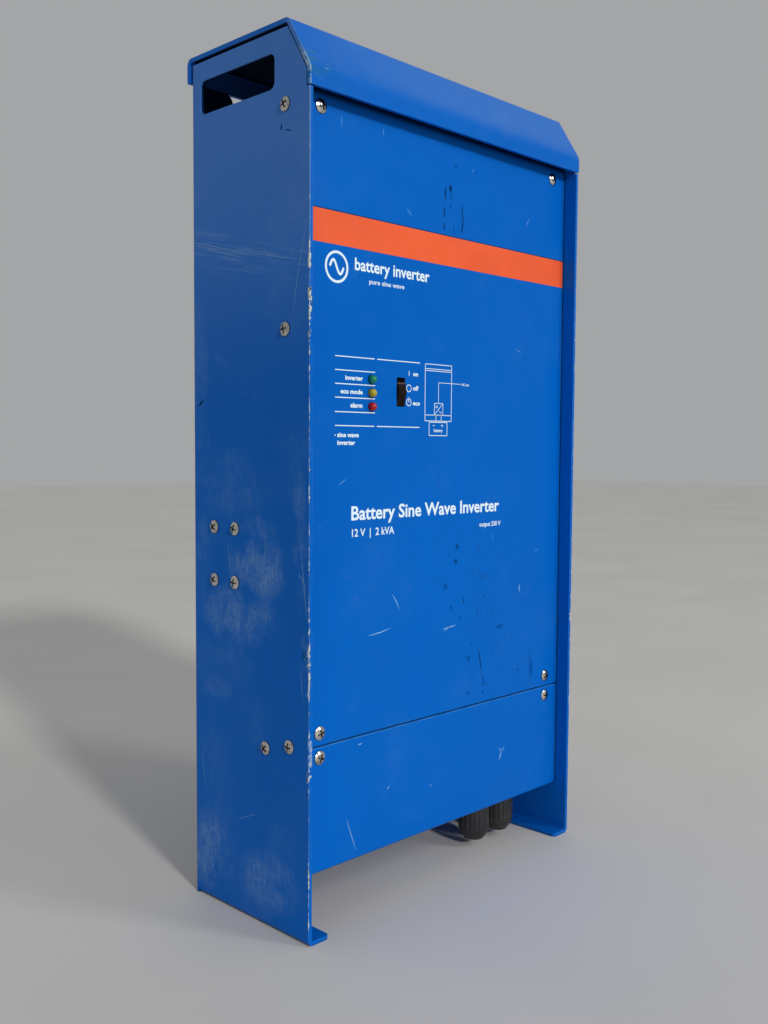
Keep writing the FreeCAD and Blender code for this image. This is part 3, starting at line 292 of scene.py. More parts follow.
def painted_lip_shade_and_seam_highlight(s, colour):
    """Painted shade on the cover just under the hood's lip, and a painted highlight along the top edge of the
    lower cover.
    """
    # painted shade: the cover turns near black just under the hood's lip
    colour = s.blend(s.times(s.step(s.z, LIP_LOW - 0.0020, LIP_LOW + 0.0025), 0.93), colour, SHADED)
    # painted highlight: a broken lighter line along the top edge of the lower cover
    lit_seam_edge = s.window(s.z, SEAM_LOW - 0.0006, SEAM_LOW + 0.0002, 0.0002)
    rubbed_and_highlight = s.times(lit_seam_edge, s.step(s.noise(60.0, 3.0), 0.25, 0.6), 0.60)
    return s.blend(rubbed_and_highlight, colour, (0.05, 0.24, 0.68))


def worn_front_edges(s, colour, chip):
    """The side panels' front edges: chipped back to metal in places, stained round the chips, and
    rubbed pale low on the left. Gives the colour and where the paint is gone."""
    across = s.minus(s.absolute(s.x), -SIDE)
    along = s.minus(s.y, EDGE)
    away = s.math("SQRT", s.math("ADD", s.times(across, across), s.times(along, along)))
    runs = s.largest(s.step(s.z, 0.39, 0.41, 0.30, 0.08),
                     *[s.times(s.window(s.z, low, high, soft), strength)
                       for low, high, soft, strength in CHIPPED])
    ragged = s.step(s.noise(1.0, 5.0, 0.72, (300, 300, 120), offset=41.0), 0.48, 0.68)
    more_on_left = s.step(s.x, -0.1, 0.1, 1.0, 0.45)
    reach = s.times(ragged, runs, more_on_left, CHIP_REACH)
    chip = s.largest(chip, s.step(s.minus(reach, away), -0.0001, 0.0001))
    stain = s.step(s.minus(s.times(reach, 1.5), away), -0.0001, 0.0002)
    colour = s.blend(s.times(stain, 0.8), colour, (0.006, 0.045, 0.10))
    rubbed_and_highlight = s.times(s.window(s.z, 0.1045, 0.1190, 0.0012), s.below(s.x, -0.1, 0.0),
                     s.below(s.y, EDGE + 0.0006, EDGE + 0.0010), s.step(s.noise(300.0, 4.0, 0.7), 0.40, 0.60))
    return s.blend(s.times(rubbed_and_highlight, 0.75), colour, (0.46, 0.56, 0.66)), chip


def worn_hood_end(s, colour):
    """The hood's front left corner, rubbed thin, and the worn rim of its left end."""
    corner = s.times(s.below(s.x, -0.124, -0.101), s.window(s.z, LIP_LOW + 0.006, LIP_LOW + 0.020, 0.004),
                     s.below(s.y, -0.050, -0.045))
    tear = s.step(s.noise(1.0, 5.0, 0.7, (90, 330, 330), (0.5, 0, 0), 2.0), 0.46, 0.58)
    colour = s.blend(s.times(corner, tear, 0.60), colour, (0.012, 0.130, 0.220))
    streak = s.step(s.noise(1.0, 4.0, 0.6, (90, 700, 700), (0, 0.25, 0), 6.0), 0.58, 0.64)
    colour = s.blend(s.times(corner, streak, 0.35), colour, (0.24, 0.44, 0.50))
    rim = s.times(s.below(s.x, SIDE + 0.0003, SIDE + 0.0011), s.step(s.noise(110.0, 4.0, 0.7), 0.34, 0.56))
    most_when_low = s.step(s.z, LIP_LOW + 0.015, LIP_LOW + 0.023, 0.80, 0.16)
    front_part = s.below(s.y, -0.0420, -0.0400)
    return s.blend(s.times(rim, most_when_low, front_part), colour, (0.34, 0.50, 0.62))


def inside_of_hood(s, kind):
    """1 on the faces round the space under the hood, which are painted dark as painted shade."""
    inside = s.times(s.below(s.absolute(s.x), *SKIN), s.window(s.y, SPACE_FRONT, SPACE_BACK, 0.0006),
                     s.step(s.z, LIP_LOW - 0.002, LIP_LOW + 0.002))
    if kind == "hood":
        under_slope = s.below(s.math("ADD", s.z, s.times(s.y, -SLOPE)), *SLOPE_SKIN)
        inside = s.times(inside, s.below(s.z, HOOD_TOP - 0.0020, HOOD_TOP - 0.0012), under_slope)
    return inside


def blue_paint(name, kind):
    """Blue powder coat with orange peel, haze, scratches, dirt and chipped edges, and painted shade and
    sheen.
    kind says which panel it is, as each wears in its own places."""
    s = Shader(name, Specular_IOR_Level=0.05 if kind == "cover" else 0.08)
    colour = s.blend(s.step(s.noise(6.0, 4.0, 0.55), 0.35, 0.70, 0.0, 0.40), BLUE, DEEP)
    rough = s.step(s.noise(45.0, 4.0, 0.6), 0.3, 0.7, 0.32, 0.44)
    haze_and_sheen = haze_and_sheen_of(s, kind)
    colour = s.blend(haze_and_sheen, colour, HAZE_AND_SHEEN)
    rough = s.math("ADD", rough, s.times(haze_and_sheen, 0.25))

    # fine scratches in three directions
    marks = s.largest(s.scratches((0.35, 0.4, 0.0), 1.0), s.scratches((-0.9, -0.5, 0.0), 4.0),
                      s.scratches((1.3, 1.1, 0.0), 8.0, 0.005, 700.0, 12.0, 0.66))
    strength = {"sides": 0.26, "hood": 0.16}.get(kind, 0.10)
    colour = s.blend(s.times(marks, strength), colour, SCRATCHED)

    # dirt: specks; painted shade under the hood's lip; dirt and painted shade in a ring round each screw and
    # in a line along each inner corner
    colour = s.blend(specks_of(s, kind), colour, SPECK_DIRT)
    if kind == "cover":
        colour = painted_lip_shade_and_seam_highlight(s, colour)
    if kind in ("sides", "cover"):
        # dirt and painted shade in inner corners and round the screws
        colour = s.blend(s.times(s.corners(0.0015, 0.50, 0.88, 8), 0.85), colour, CORNER_DIRT_AND_SHADE)

    # edges: paint thinned to a light line, then chipped through to metal
    edge = s.edges(0.0007)
    worn = s.times(edge, s.step(s.noise(90.0, 4.0, 0.65, offset=4.0), 0.40, 0.62))
    colour = s.blend(s.times(worn, 0.38), colour, (0.10, 0.30, 0.62))
    chip = s.times(edge, s.step(s.noise(240.0, 5.0, 0.7, offset=31.0), 0.66, 0.72))
    if kind == "sides":
        colour, chip = worn_front_edges(s, colour, chip)
    if kind == "hood":
        colour = worn_hood_end(s, colour)

    # painted shade on the faces that are in the shade of the hood
    if kind == "inner":
        colour = s.blend(s.step(s.z, LIP_LOW - 0.010, LIP_LOW - 0.004), colour, SHADED)
    if kind in ("sides", "hood"):
        inside = inside_of_hood(s, kind)
        colour = s.blend(s.times(inside, 0.95), colour, SHADED)
        rough = s.number(inside, rough, 0.95)
    colour = s.blend(chip, colour, s.blend(s.step(s.noise(520.0, 2.0), 0.32, 0.46), BROWN, BARE))

    height = s.math("ADD", s.times(s.noise(620.0, 1.0, 0.4), 0.55), s.times(chip, -1.2))
    height = s.math("ADD", height, s.times(marks, -0.25))
    s.set("Base Color", colour)
    s.set("Roughness", rough)
    s.bump(height, 0.14, 0.00035)
    return s.mat


# ---- other materials -----------------------------------------------------------------------------
def stripe_paint():
    s = Shader("stripe_orange", Specular_IOR_Level=0.45)
    colour = s.blend(s.step(s.noise(30.0, 4.0), 0.35, 0.7), (0.86, 0.110, 0.022), (0.80, 0.095, 0.020))
    mark = s.largest(s.scratches((0.4, 0.5, 0), 3.0), s.step(s.noise(380.0), 0.71, 0.76))
    s.set("Base Color", s.blend(s.times(mark, 0.35), colour, (0.20, 0.05, 0.04)))
    s.set("Roughness", s.step(s.noise(70.0), 0.3, 0.7, 0.34, 0.46))
    s.bump(s.noise(620.0, 1.0, 0.4), 0.10, 0.0003)
    return s.mat


def ink(name, colour, worn, shine=0.3):
    """Printing, or a film of dirt or dust, rubbed through to the worn colour in places."""
    s = Shader(name, Specular_IOR_Level=shine)
    rubbed_and_highlight = s.step(s.noise(900.0, 3.0, 0.6), 0.62, 0.72)
    s.set("Base Color", s.blend(s.times(rubbed_and_highlight, 0.15), colour, worn))
    s.set("Roughness", s.step(s.noise(200.0), 0.3, 0.7, 0.40, 0.52))
    s.bump(s.noise(900.0), 0.06, 0.0002)
    return s.mat


def metal(name, light, dark, rough, grain, brushed=None, dirt_and_shade=0.0):
    """Bare or plated metal with grain, blotches, and dirt and painted shade in its corners and recesses."""
    s = Shader(name, Metallic=1.0)
    colour = s.blend(s.step(s.noise(140.0, 4.0, 0.6), 0.35, 0.7), light, dark)
    lines = s.noise(1.0, 3.0, 0.6, brushed or (grain, grain, grain))
    if dirt_and_shade:
        spots = s.step(s.noise(900.0, 4.0, 0.7), 0.52, 0.62)
        # dirt spots, and painted shade in corners and recesses such as the screws' cross slots
        dirt_and_shade_mask = s.largest(s.corners(0.0026, 0.46, 0.90, 6), s.times(spots, 0.5))
        colour = s.blend(s.times(dirt_and_shade_mask, dirt_and_shade), colour, (0.020, 0.014, 0.010))
    s.set("Base Color", colour)
    s.set("Roughness", s.step(lines, 0.3, 0.7, rough - 0.07, rough + 0.12))
    s.bump(lines, 0.12, 0.0002)
    return s.mat


def plastic(name, colour, other, rough, grain=900.0, depth=0.14):
    """Moulded plastic or rubber with fine texture and a little dust."""
    s = Shader(name)
    base = s.blend(s.step(s.noise(60.0, 4.0, 0.6), 0.35, 0.7), colour, other)
    dust = s.step(s.noise(240.0, 4.0, 0.7, offset=5.0), 0.55, 0.75)
    s.set("Base Color", s.blend(s.times(dust, 0.12), base, (0.36, 0.34, 0.31)))
    s.set("Roughness", s.step(s.noise(180.0), 0.3, 0.7, rough - 0.05, rough + 0.08))
    s.bump(s.noise(grain, 2.0, 0.6), depth, 0.0003)
    return s.mat


def rocker_plastic():
    """Black rocker with painted light: painted shade on its upper part, its lower half browner as its lit
    face, and a painted highlight along the edge across the top of that half.
    """
    s = Shader("rocker_black", Specular_IOR_Level=0.04)
    crease = 0.3232   # height of that edge
    # painted shade above the edge; the browner lower half stands for its lit face
    lower = s.below(s.z, crease - 0.0010, crease + 0.0002)
    colour = s.blend(s.times(lower, s.step(s.noise(260.0, 4.0), 0.3, 0.7, 0.5, 1.0)),
                     (0.0008, 0.0006, 0.0006), (0.016, 0.010, 0.008))
    # painted highlight along the rocker's edge
    rubbed_and_highlight = s.times(s.window(s.z, crease - 0.0004, crease + 0.0004, 0.0003),
                     s.step(s.noise(700.0), 0.35, 0.55))
    s.set("Base Color", s.blend(s.times(rubbed_and_highlight, 0.9), colour, (0.14, 0.085, 0.065)))
    s.set("Roughness", s.step(s.noise(300.0), 0.3, 0.7, 0.34, 0.46))
    s.bump(s.noise(900.0, 2.0, 0.6), 0.10, 0.0002)
    return s.mat


def lens(name, colour, deep):
    """Tinted clear epoxy, unlit, with its darker core and painted shade round the base of the dome."""
    s = Shader(name, Coat_Weight=0.6, Coat_Roughness=0.26, Specular_IOR_Level=0.2)
    core = s.step(s.noise(700.0, 2.0), 0.35, 0.7)
    # painted shade: the dome turns to the deep colour at its base, next to the panel
    depth = s.step(s.y, FRONT - 0.003, FRONT + 0.001)
    s.set("Base Color", s.blend(s.largest(s.times(core, 0.25), depth), colour, deep))
    s.set("Roughness", s.step(s.noise(400.0), 0.3, 0.7, 0.10, 0.16))
    s.bump(s.noise(300.0), 0.02, 0.0002)
    return s.mat


def board_mask(name):
    """Solder mask with tracks under it and pads showing."""
    s = Shader(name, Specular_IOR_Level=0.5)
    tracks = s.add("ShaderNodeTexVoronoi", distance="MANHATTAN", feature="F1")
    tracks.inputs["Scale"].default_value = 260.0
    s.link(s.position, tracks.inputs["Vector"])
    line = s.step(tracks.outputs["Distance"], 0.42, 0.50)
    pad = s.below(tracks.outputs["Distance"], 0.10, 0.14)
    colour = s.blend(line, (0.012, 0.085, 0.030), (0.020, 0.150, 0.055))
    s.set("Base Color", s.blend(s.times(pad, 0.8), colour, (0.55, 0.54, 0.50)))
    s.set("Roughness", s.step(s.noise(120.0), 0.3, 0.7, 0.25, 0.38))
    s.bump(line, 0.12, 0.0002)
    return s.mat


def core_tape(name):
    """Overlapping turns of polyester tape round the ring core."""
    s = Shader(name, Coat_Weight=0.35, Coat_Roughness=0.2)
    middle = (CORE_LOW[2] + CORE_HIGH[2]) / 2
    around = s.math("ARCTAN2", s.minus(s.z, middle), s.x)
    turns = s.math("FRACT", s.times(around, 11.5))
    colour = s.blend(s.step(turns, 0.0, 0.10), (0.36, 0.22, 0.05), (0.68, 0.50, 0.16))
    colour = s.blend(s.step(s.noise(60.0, 4.0), 0.4, 0.7, 0.0, 0.5), colour, (0.50, 0.32, 0.10))
    s.set("Base Color", colour)
    s.set("Roughness", s.step(s.noise(90.0), 0.3, 0.7, 0.24, 0.42))
    s.bump(turns, 0.35, 0.0004)
    return s.mat


# ---- materials of the frame's own parts ----------------------------------------------------------
def dress(material, *names):
    for name in names:
        slots = NODES[name].material_slots
        for slot in slots:
            slot.material = material
        if not slots:
            NODES[name].data.materials.append(material)


def dress_case():
    dress(blue_paint("paint_sides", "sides"), "chassis")
    dress(blue_paint("paint_hood", "hood"), "top_hood", "hood_struts")
    dress(blue_paint("paint_covers", "cover"), "front_cover", "connection_cover")
    dress(blue_paint("paint_inner", "inner"), "cover_rails", "connection_tray", "vent_plate")


def dress_metal_parts():
    dress(metal("stainless_screws", (0.74, 0.72, 0.68), (0.48, 0.45, 0.41), 0.20, 700, dirt_and_shade=1.0),
          "side_screws", "front_cover_screws", "connection_cover_screws", "back_screws", "strut_screws",
          "fan_screws", "ac_lever_pin")
    dress(metal("stainless_studs", (0.66, 0.65, 0.62), (0.50, 0.49, 0.47), 0.26, 500, (260, 2600, 260), 0.4),
          "battery_studs", "battery_stud_nuts", "earth_stud", "earth_nut")
    dress(metal("zinc_plate", (0.58, 0.59, 0.60), (0.44, 0.45, 0.47), 0.38, 120, dirt_and_shade=0.3),
          "hanging_rail", "transformer_cradle", "clinch_nuts", "fuse_bolts", "transformer_clamp_plate",
          "transformer_bolt", "transformer_nut")
    dress(metal("copper_bar", (0.78, 0.36, 0.22), (0.50, 0.22, 0.13), 0.30, 400, (300, 300, 30), 0.3),
          "positive_busbar", "negative_busbar")
    dress(metal("copper_wire", (0.70, 0.28, 0.14), (0.42, 0.16, 0.08), 0.28, 600, (900, 60, 900), 0.3),
          "output_choke")
    dress(metal("bare_aluminium", (0.66, 0.67, 0.68), (0.54, 0.55, 0.56), 0.34, 300, (40, 900, 40)),
          "heatsink")


def dress_plastic_parts():
    dress(plastic("nylon_black", (0.012, 0.012, 0.014), (0.022, 0.022, 0.024), 0.50),
          "gland_bodies", "gland_dome_nuts", "gland_lock_nuts", "dc_terminal_base", "fan_frame",
          "fan_rotor", "wall_spacers", "switch_housing")
    dress(rocker_plastic(), "rocker")
    dress(plastic("rubber_black", (0.014, 0.014, 0.014), (0.024, 0.023, 0.022), 0.72, 500.0, 0.25),
          "gland_seals", "battery_grommets", "transformer_pads")
    dress(plastic("nylon_natural", (0.74, 0.71, 0.62), (0.66, 0.62, 0.52), 0.42), "board_posts")
    dress(plastic("polyamide_grey", (0.19, 0.20, 0.21), (0.15, 0.16, 0.17), 0.46), "ac_terminal_block")
    dress(plastic("polyamide_orange", (0.78, 0.16, 0.02), (0.66, 0.12, 0.02), 0.34),
          "ac_lever_line", "ac_lever_neutral", "ac_lever_earth")
    dress(plastic("wire_sleeve", (0.030, 0.020, 0.018), (0.050, 0.036, 0.030), 0.42),
          "ac_wires", "transformer_leads")


def dress_electric_parts():
    dress(core_tape("core_tape"), "transformer")
    dress(board_mask("solder_mask"), "power_board", "control_board", "display_board")
    dress(plastic("epoxy_black", (0.018, 0.018, 0.018), (0.030, 0.030, 0.030), 0.44),
          "power_transistors", "relays")
    dress(plastic("can_sleeve", (0.016, 0.020, 0.050), (0.012, 0.014, 0.036), 0.26), "capacitors")
    dress(plastic("fuse_ceramic", (0.66, 0.62, 0.52), (0.56, 0.52, 0.42), 0.40), "main_fuse")
    dress(lens("lens_green", (0.0, 0.24, 0.115), (0.0, 0.050, 0.036)), "led_green")
    dress(lens("lens_yellow", (0.42, 0.36, 0.008), (0.14, 0.12, 0.005)), "led_yellow")
    dress(lens("lens_red", (0.42, 0.001, 0.003), (0.10, 0.0, 0.002)), "led_red")


# ---- thin pieces on the surface ------------------------------------------------------------------
OUTWARD = Vector((0, -1, 0))    # away from the front
LEFTWARD = Vector((-1, 0, 0))   # away from the left side
# how far these start off the paint, and how thick they are, in millimetres
PRINT_LIFT, PRINT_THICK = 0.005, 0.07
FILM_LIFT, SCAR_THICK, SPOT_THICK = 0.004, 0.012, 0.010
DARK_LIFT = 0.02                # dark spots lie over the dim ones


def on_front(x, z, lift):
    return Vector((x * MM, FRONT - lift * MM, z * MM))


def on_left(y, z, lift):
    return Vector((SIDE - lift * MM, y * MM, z * MM))


def add_piece(name, mesh, material, body):
    """A piece with this mesh and material that rides on a body."""
    mesh.materials.append(material)
    obj = bpy.data.objects.new(name, mesh)
    bpy.context.collection.objects.link(obj)
    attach(obj, body)


def piece(name, bm, material, body):
    """The same, from a finished bmesh of closed plates."""
    mesh = bpy.data.meshes.new(name)
    bmesh.ops.recalc_face_normals(bm, faces=bm.faces)
    bm.to_mesh(mesh)
    bm.free()
    add_piece(name, mesh, material, body)


def slab(bm, corners, out, thick):
    """A thin closed plate from a flat outline, growing along out."""
    low = [bm.verts.new(c) for c in corners]
    high = [bm.verts.new(c + out * thick * MM) for c in corners]
    bm.faces.new(low[::-1])
    bm.faces.new(high)
    for i in range(len(corners)):
        j = (i + 1) % len(corners)
        bm.faces.new((low[i], low[j], high[j], high[i]))


def print_shape(bm, outline):
    slab(bm, [on_front(x, z, PRINT_LIFT) for x, z in outline], OUTWARD, PRINT_THICK)


def rails(points, half_widths):
    """Points to the right and to the left of a run of points."""
    right, left = [], []
    for i, (point, half) in enumerate(zip(points, half_widths)):
        a = Vector(points[max(i - 1, 0)])
        b = Vector(points[min(i + 1, len(points) - 1)])
        run = (b - a).normalized()
        side = Vector((-run.y, run.x)) * half
        right.append(Vector(point) - side)
        left.append(Vector(point) + side)
    return right, left


def strip(bm, points, width):
    """A printed band of constant width along a run of points on the front."""
    right, left = rails(points, [width / 2] * len(points))
    for i in range(len(points) - 1):
        print_shape(bm, (right[i], right[i + 1], left[i + 1], left[i]))


def bar(bm, x0, z0, x1, z1, width=0.55):
    """A printed line between two points on the front."""
    strip(bm, [(x0, z0), (x1, z1)], width)


def rectangle(bm, x0, z0, x1, z1, width=0.45):
    for ends in ((x0, z0, x1, z0), (x1, z0, x1, z1), (x1, z1, x0, z1), (x0, z1, x0, z0)):
        bar(bm, *ends, width)


def ring(bm, x, z, radius, width):
    """A printed circle, in 40 short bars."""
    points = [(x + radius * math.cos(math.tau * i / 40), z + radius * math.sin(math.tau * i / 40))
              for i in range(41)]
    for a, b in zip(points, points[1:]):
        bar(bm, *a, *b, width)


def sine(bm, x, z, step_x, high, steps, width):
    """One printed wave that starts at x, in even steps."""
    points = [(x + step_x * i, z + high * math.sin(math.tau * i / steps)) for i in range(steps + 1)]
    strip(bm, points, width)


def lettering(name, text, x, z, height, align, material, bold, squeeze=1.0):
    """Printed words whose baseline starts, ends or is centred at (x, z)."""
    curve = bpy.data.curves.new(name, "FONT")
    curve.body = text
    curve.align_x = align
    curve.size = height * MM
    curve.offset = bold * MM
    curve.extrude = PRINT_THICK * MM / 2
    curve.resolution_u = 3
    source = bpy.data.objects.new(name + "_source", curve)
    bpy.context.collection.objects.link(source)
    bpy.context.view_layer.update()
    mesh = bpy.data.meshes.new_from_object(source)
    bpy.data.objects.remove(source)
    place = Matrix.Translation(on_front(x, z, PRINT_LIFT + PRINT_THICK / 2))
    upright = Matrix.Rotation(math.pi / 2, 4, "X")
    mesh.transform(place @ upright @ Matrix.Diagonal((squeeze, 1, 1, 1)))
    mesh.materials.clear()
    add_piece(name, mesh, material, "case")


# ---- printing ------------------------------------------------------------------------------------
STRIPE_LOW, STRIPE_HIGH = 399.5, 418.1
STRIPE_LEFT, STRIPE_RIGHT = -124.3, 124.2

LINES_LEFT, LINES_RIGHT = -99.0, -27.0     # outer ends of the lines on the panel
LAMP_LINES = (328.7, 320.8, 312.9, 304.6)  # heights of the lines between the lamps
OUTER_LINES = (336.6, 296.6)               # heights of the lines over and under them

# name, words, the end of the baseline that stays put, its height, and how the words align to it
CAPTIONS = (("caption_inverter", "inverter", -76.8, 323.3, "RIGHT"),
            ("caption_eco_mode", "eco mode", -76.8, 315.3, "RIGHT"),
            ("caption_alarm", "alarm", -76.8, 307.4, "RIGHT"),
            ("caption_kind", "sine wave", -97.2, 290.0, "LEFT"),
            ("caption_kind_2", "inverter", -97.2, 285.5, "LEFT"),
            ("caption_on", "on", -33.2, 328.3, "LEFT"),
            ("caption_off", "off", -33.2, 319.5, "LEFT"),
            ("caption_eco", "eco", -33.2, 310.3, "LEFT"))
RINGS_X = -36.9      # middle of the rings that stand for off and eco
TITLE_LEFT = -86.3


def stripe():
    bm = bmesh.new()
    print_shape(bm, ((STRIPE_LEFT, STRIPE_LOW), (STRIPE_RIGHT, STRIPE_LOW),
                     (STRIPE_RIGHT, STRIPE_HIGH), (STRIPE_LEFT, STRIPE_HIGH)))
    piece("orange_stripe", bm, stripe_paint(), "case")


def panel_lines(white):
    bm = bmesh.new()
    for z in LAMP_LINES:
        bar(bm, LINES_LEFT, z, -66.5, z)
    for z in OUTER_LINES:
        bar(bm, LINES_LEFT, z, -67.0, z)
        bar(bm, -64.8, z, LINES_RIGHT, z)
    piece("panel_lines", bm, white, "case")


def panel_diagram(white):
    """A case with a converter in it, its output to the right and the battery below."""
    left, right, low, high = -22.0, 3.2, 300.9, 336.5
    seam, hood_low, hood_high = 304.6, 332.4, 333.6
    box_left, box_right, box_low, box_high = -13.1, -5.0, 304.8, 312.1
    output_x, output_z, output_end = -9.3, 325.2, 12.7
    cell_left, cell_right, cell_low, cell_high = -18.0, -0.8, 291.7, 300.1
    minus_x, plus_x, signs_z = -13.6, -5.6, 298.0
    bm = bmesh.new()
    rectangle(bm, left, low, right, high)
    for z in (hood_low, hood_high, seam):
        bar(bm, left, z, right, z, 0.4)
    rectangle(bm, box_left, box_low, box_right, box_high, 0.4)
    bar(bm, box_left, box_low, box_right, box_high, 0.35)
    for z in (310.4, 309.4):
        bar(bm, -12.2, z, -9.8, z, 0.35)
    sine(bm, -8.6, 306.6, 0.25, 0.55, 10, 0.3)
    bar(bm, output_x, box_high, output_x, output_z, 0.35)
    bar(bm, output_x, output_z, output_end, output_z, 0.35)
    rectangle(bm, cell_left, cell_low, cell_right, cell_high, 0.45)
    for x in (-11.6, -6.6):
        bar(bm, x, cell_high, x, seam, 0.4)
    for x in (minus_x, plus_x):
        bar(bm, x - 1.0, signs_z, x + 1.0, signs_z, 0.35)
    bar(bm, plus_x, signs_z - 1.0, plus_x, signs_z + 1.0, 0.35)
    piece("panel_diagram", bm, white, "case")


def panel_captions(white):
    for name, words, x, z, align in CAPTIONS:
        lettering(name, words, x, z, 3.7, align, white, 0.13, 1.19)
    lettering("caption_battery", "battery", -9.4, 294.0, 2.9, "CENTER", white, 0.05)
    lettering("caption_output", "AC out", 13.6, 324.3, 2.3, "LEFT", white, 0.05)


def panel_symbols(white):
    """Signs of on, off and eco beside the switch, and a dot before the last caption."""
    bm = bmesh.new()
    bar(bm, -36.8, 328.2, -36.8, 331.2, 0.5)
    for z in (320.5, 311.9):
        ring(bm, RINGS_X, z, 2.1, 0.5)
    bar(bm, RINGS_X, 311.9, RINGS_X, 315.0, 0.5)
    bar(bm, -99.3, 291.0, -98.5, 291.0, 0.8)
    piece("panel_symbols", bm, white, "case")


def title(white):
    lettering("title_line", "Battery Sine Wave Inverter", TITLE_LEFT, 241.2, 11.6, "LEFT", white, 0.24, 1.085)
    lettering("rating_line", "12 V  |  2 kVA", TITLE_LEFT, 231.3, 6.4, "LEFT", white, 0.10)
    lettering("output_line", "output 230 V", 55.8, 231.3, 4.2, "RIGHT", white, 0.08)


def wave_mark(white):
    """A wave in a ring, and plain words beside it."""
    bm = bmesh.new()
    ring(bm, -98.0, 387.0, 8.4, 1.5)
    sine(bm, -103.4, 387.0, 0.54, 3.9, 20, 1.5)
    piece("wave_mark", bm, white, "case")
    lettering("mark_words", "battery inverter", -84.0, 387.2, 9.9, "LEFT", white, 0.2, 1.02)
    lettering("mark_words_2", "pure sine wave", -72.0, 380.4, 4.0, "LEFT", white, 0.05, 1.25)


def printing():
    white = ink("ink_white", (0.76, 0.90, 0.98), (0.25, 0.50, 0.75))
    stripe()
    panel_lines(white)
    panel_diagram(white)
    panel_captions(white)
    panel_symbols(white)
    title(white)
    wave_mark(white)


# ---- scratches, drips and spots ------------------------------------------------------------------
def wander(start, end, wobble, steps, seed):
    """Points from start to end that stray a little to each side."""
    rng = random.Random(seed)
    a, b = Vector(start), Vector(end)
    run = b - a
    side = Vector((-run.y, run.x)).normalized()
    bow = rng.uniform(-1, 1)
    points = []
    for i in range(steps + 1):
        t = i / steps
        stray = wobble * (bow * math.sin(math.pi * t) + rng.uniform(-0.25, 0.25))
        points.append(tuple(a + run * t + side * stray))
    return points


def scar(bm, points, width, on_side=False):
    """A thin tapered film along points on the front, or on the left side."""
    at, out = (on_left, LEFTWARD) if on_side else (on_front, OUTWARD)
    count = len(points)
    tapers = [math.sin(math.pi * (i + 0.35) / (count - 0.3)) for i in range(count)]
    right, left = rails(points, [width * 0.5 * max(taper, 0.12) for taper in tapers])
    for i in range(count - 1):
        quad = (right[i], right[i + 1], left[i + 1], left[i])
        slab(bm, [at(*corner, FILM_LIFT) for corner in quad], out, SCAR_THICK)


def scars(bm, rows, wobble, steps, on_side=False):
    """Scars that wander. A row has its start, end, width and seed."""
    for start, end, width, seed in rows:
        scar(bm, wander(start, end, wobble, steps, seed), width, on_side)


def blots(bm, rows, lift):
    """Irregular spots of dried dirt on the front. A row has a place, width, height and seed."""
    for x, z, wide, high, seed in rows:
        rng = random.Random(seed)
        outline = []
        for i in range(11):
            turn = math.tau * i / 11
            reach = rng.uniform(0.34, 0.54)
            outline.append((x + wide * reach * math.cos(turn), z + high * reach * math.sin(turn)))
        slab(bm, [on_front(*corner, lift) for corner in outline], OUTWARD, SPOT_THICK)


FRONT_SCRATCHES = (((-71.2, 170.5), (-51.3, 173.0), 0.7, 1), ((-50.6, 194.0), (-44.0, 183.6), 0.6, 2),
                   ((-3.2, 166.5), (10.3, 167.6), 0.8, 3), ((-2.0, 165.0), (6.0, 168.0), 0.5, 4),
                   ((78.6, 188.5), (78.7, 183.1), 0.9, 43))
NICKS = ((-40, 430, 21), (22, 462, 22), (80, 436, 23), (-96, 262, 24), (70, 352, 25), (96, 210, 26))
COVER_SCRATCHES = (((58.0, 66.8), (60.5, 72.5), 1.0, 5), ((60.5, 72.5), (64.0, 75.0), 0.6, 6),
                   ((60.3, 72.0), (57.6, 75.4), 0.6, 7), ((-53.9, 72.4), (-52.0, 74.0), 0.7, 8),
                   ((-13.9, 64.4), (-12.8, 66.0), 0.6, 9), ((-79.2, 105.3), (-75.9, 105.6), 0.8, 10),
                   ((-88.6, 62.5), (-80.5, 41.0), 0.45, 45))
DRIPS = (((33.7, 149.2), (37.5, 132.0), 1.1, 11), ((37.6, 131.0), (40.1, 122.0), 0.7, 46),
         ((-4.4, 448.8), (-4.3, 439.8), 1.5, 13), ((-5.2, 436.4), (-5.1, 428.8), 1.5, 14),
         ((-5.4, 426.4), (-5.5, 421.2), 1.3, 15), ((12.6, 440.0), (11.9, 432.0), 1.2, 16),
         ((12.2, 433.0), (13.4, 429.0), 1.4, 47), ((13.2, 430.0), (11.4, 421.8), 1.6, 48))
DARK_SPOTS = ((0.6, 448.4, 3.0, 4.4, 51), (10.4, 219.3, 1.5, 2.0, 52), (9.2, 209.6, 2.0, 1.7, 53),
              (17.4, 182.9, 1.1, 4.2, 54), (38.7, 123.6, 0.9, 2.2, 55), (42.7, 122.8, 0.9, 2.4, 56),
              (5.6, 463.1, 2.2, 1.6, 57), (38.9, 118.0, 1.6, 1.8, 58))
DIM_SPOTS = ((0.6, 448.4, 4.2, 5.8, 61), (10.4, 219.3, 4.0, 4.8, 62), (9.2, 209.6, 5.4, 4.2, 63),
             (-0.6, 194.0, 4.2, 5.0, 64), (5.1, 179.5, 3.2, 3.4, 65), (14.6, 171.7, 2.6, 3.2, 66),
             (56.5, 160.9, 8.4, 3.4, 67), (23.2, 143.5, 4.2, 4.6, 68), (23.6, 120.0, 3.0, 3.2, 69),
             (78.1, 127.8, 2.6, 3.0, 70), (19.0, 455.2, 1.9, 1.6, 71), (94.2, 127.0, 2.4, 13.0, 72),
             (26.4, 152.0, 1.6, 2.6, 73), (-12.0, 200.0, 1.4, 1.8, 74), (2.0, 214.0, 1.6, 1.6, 75))
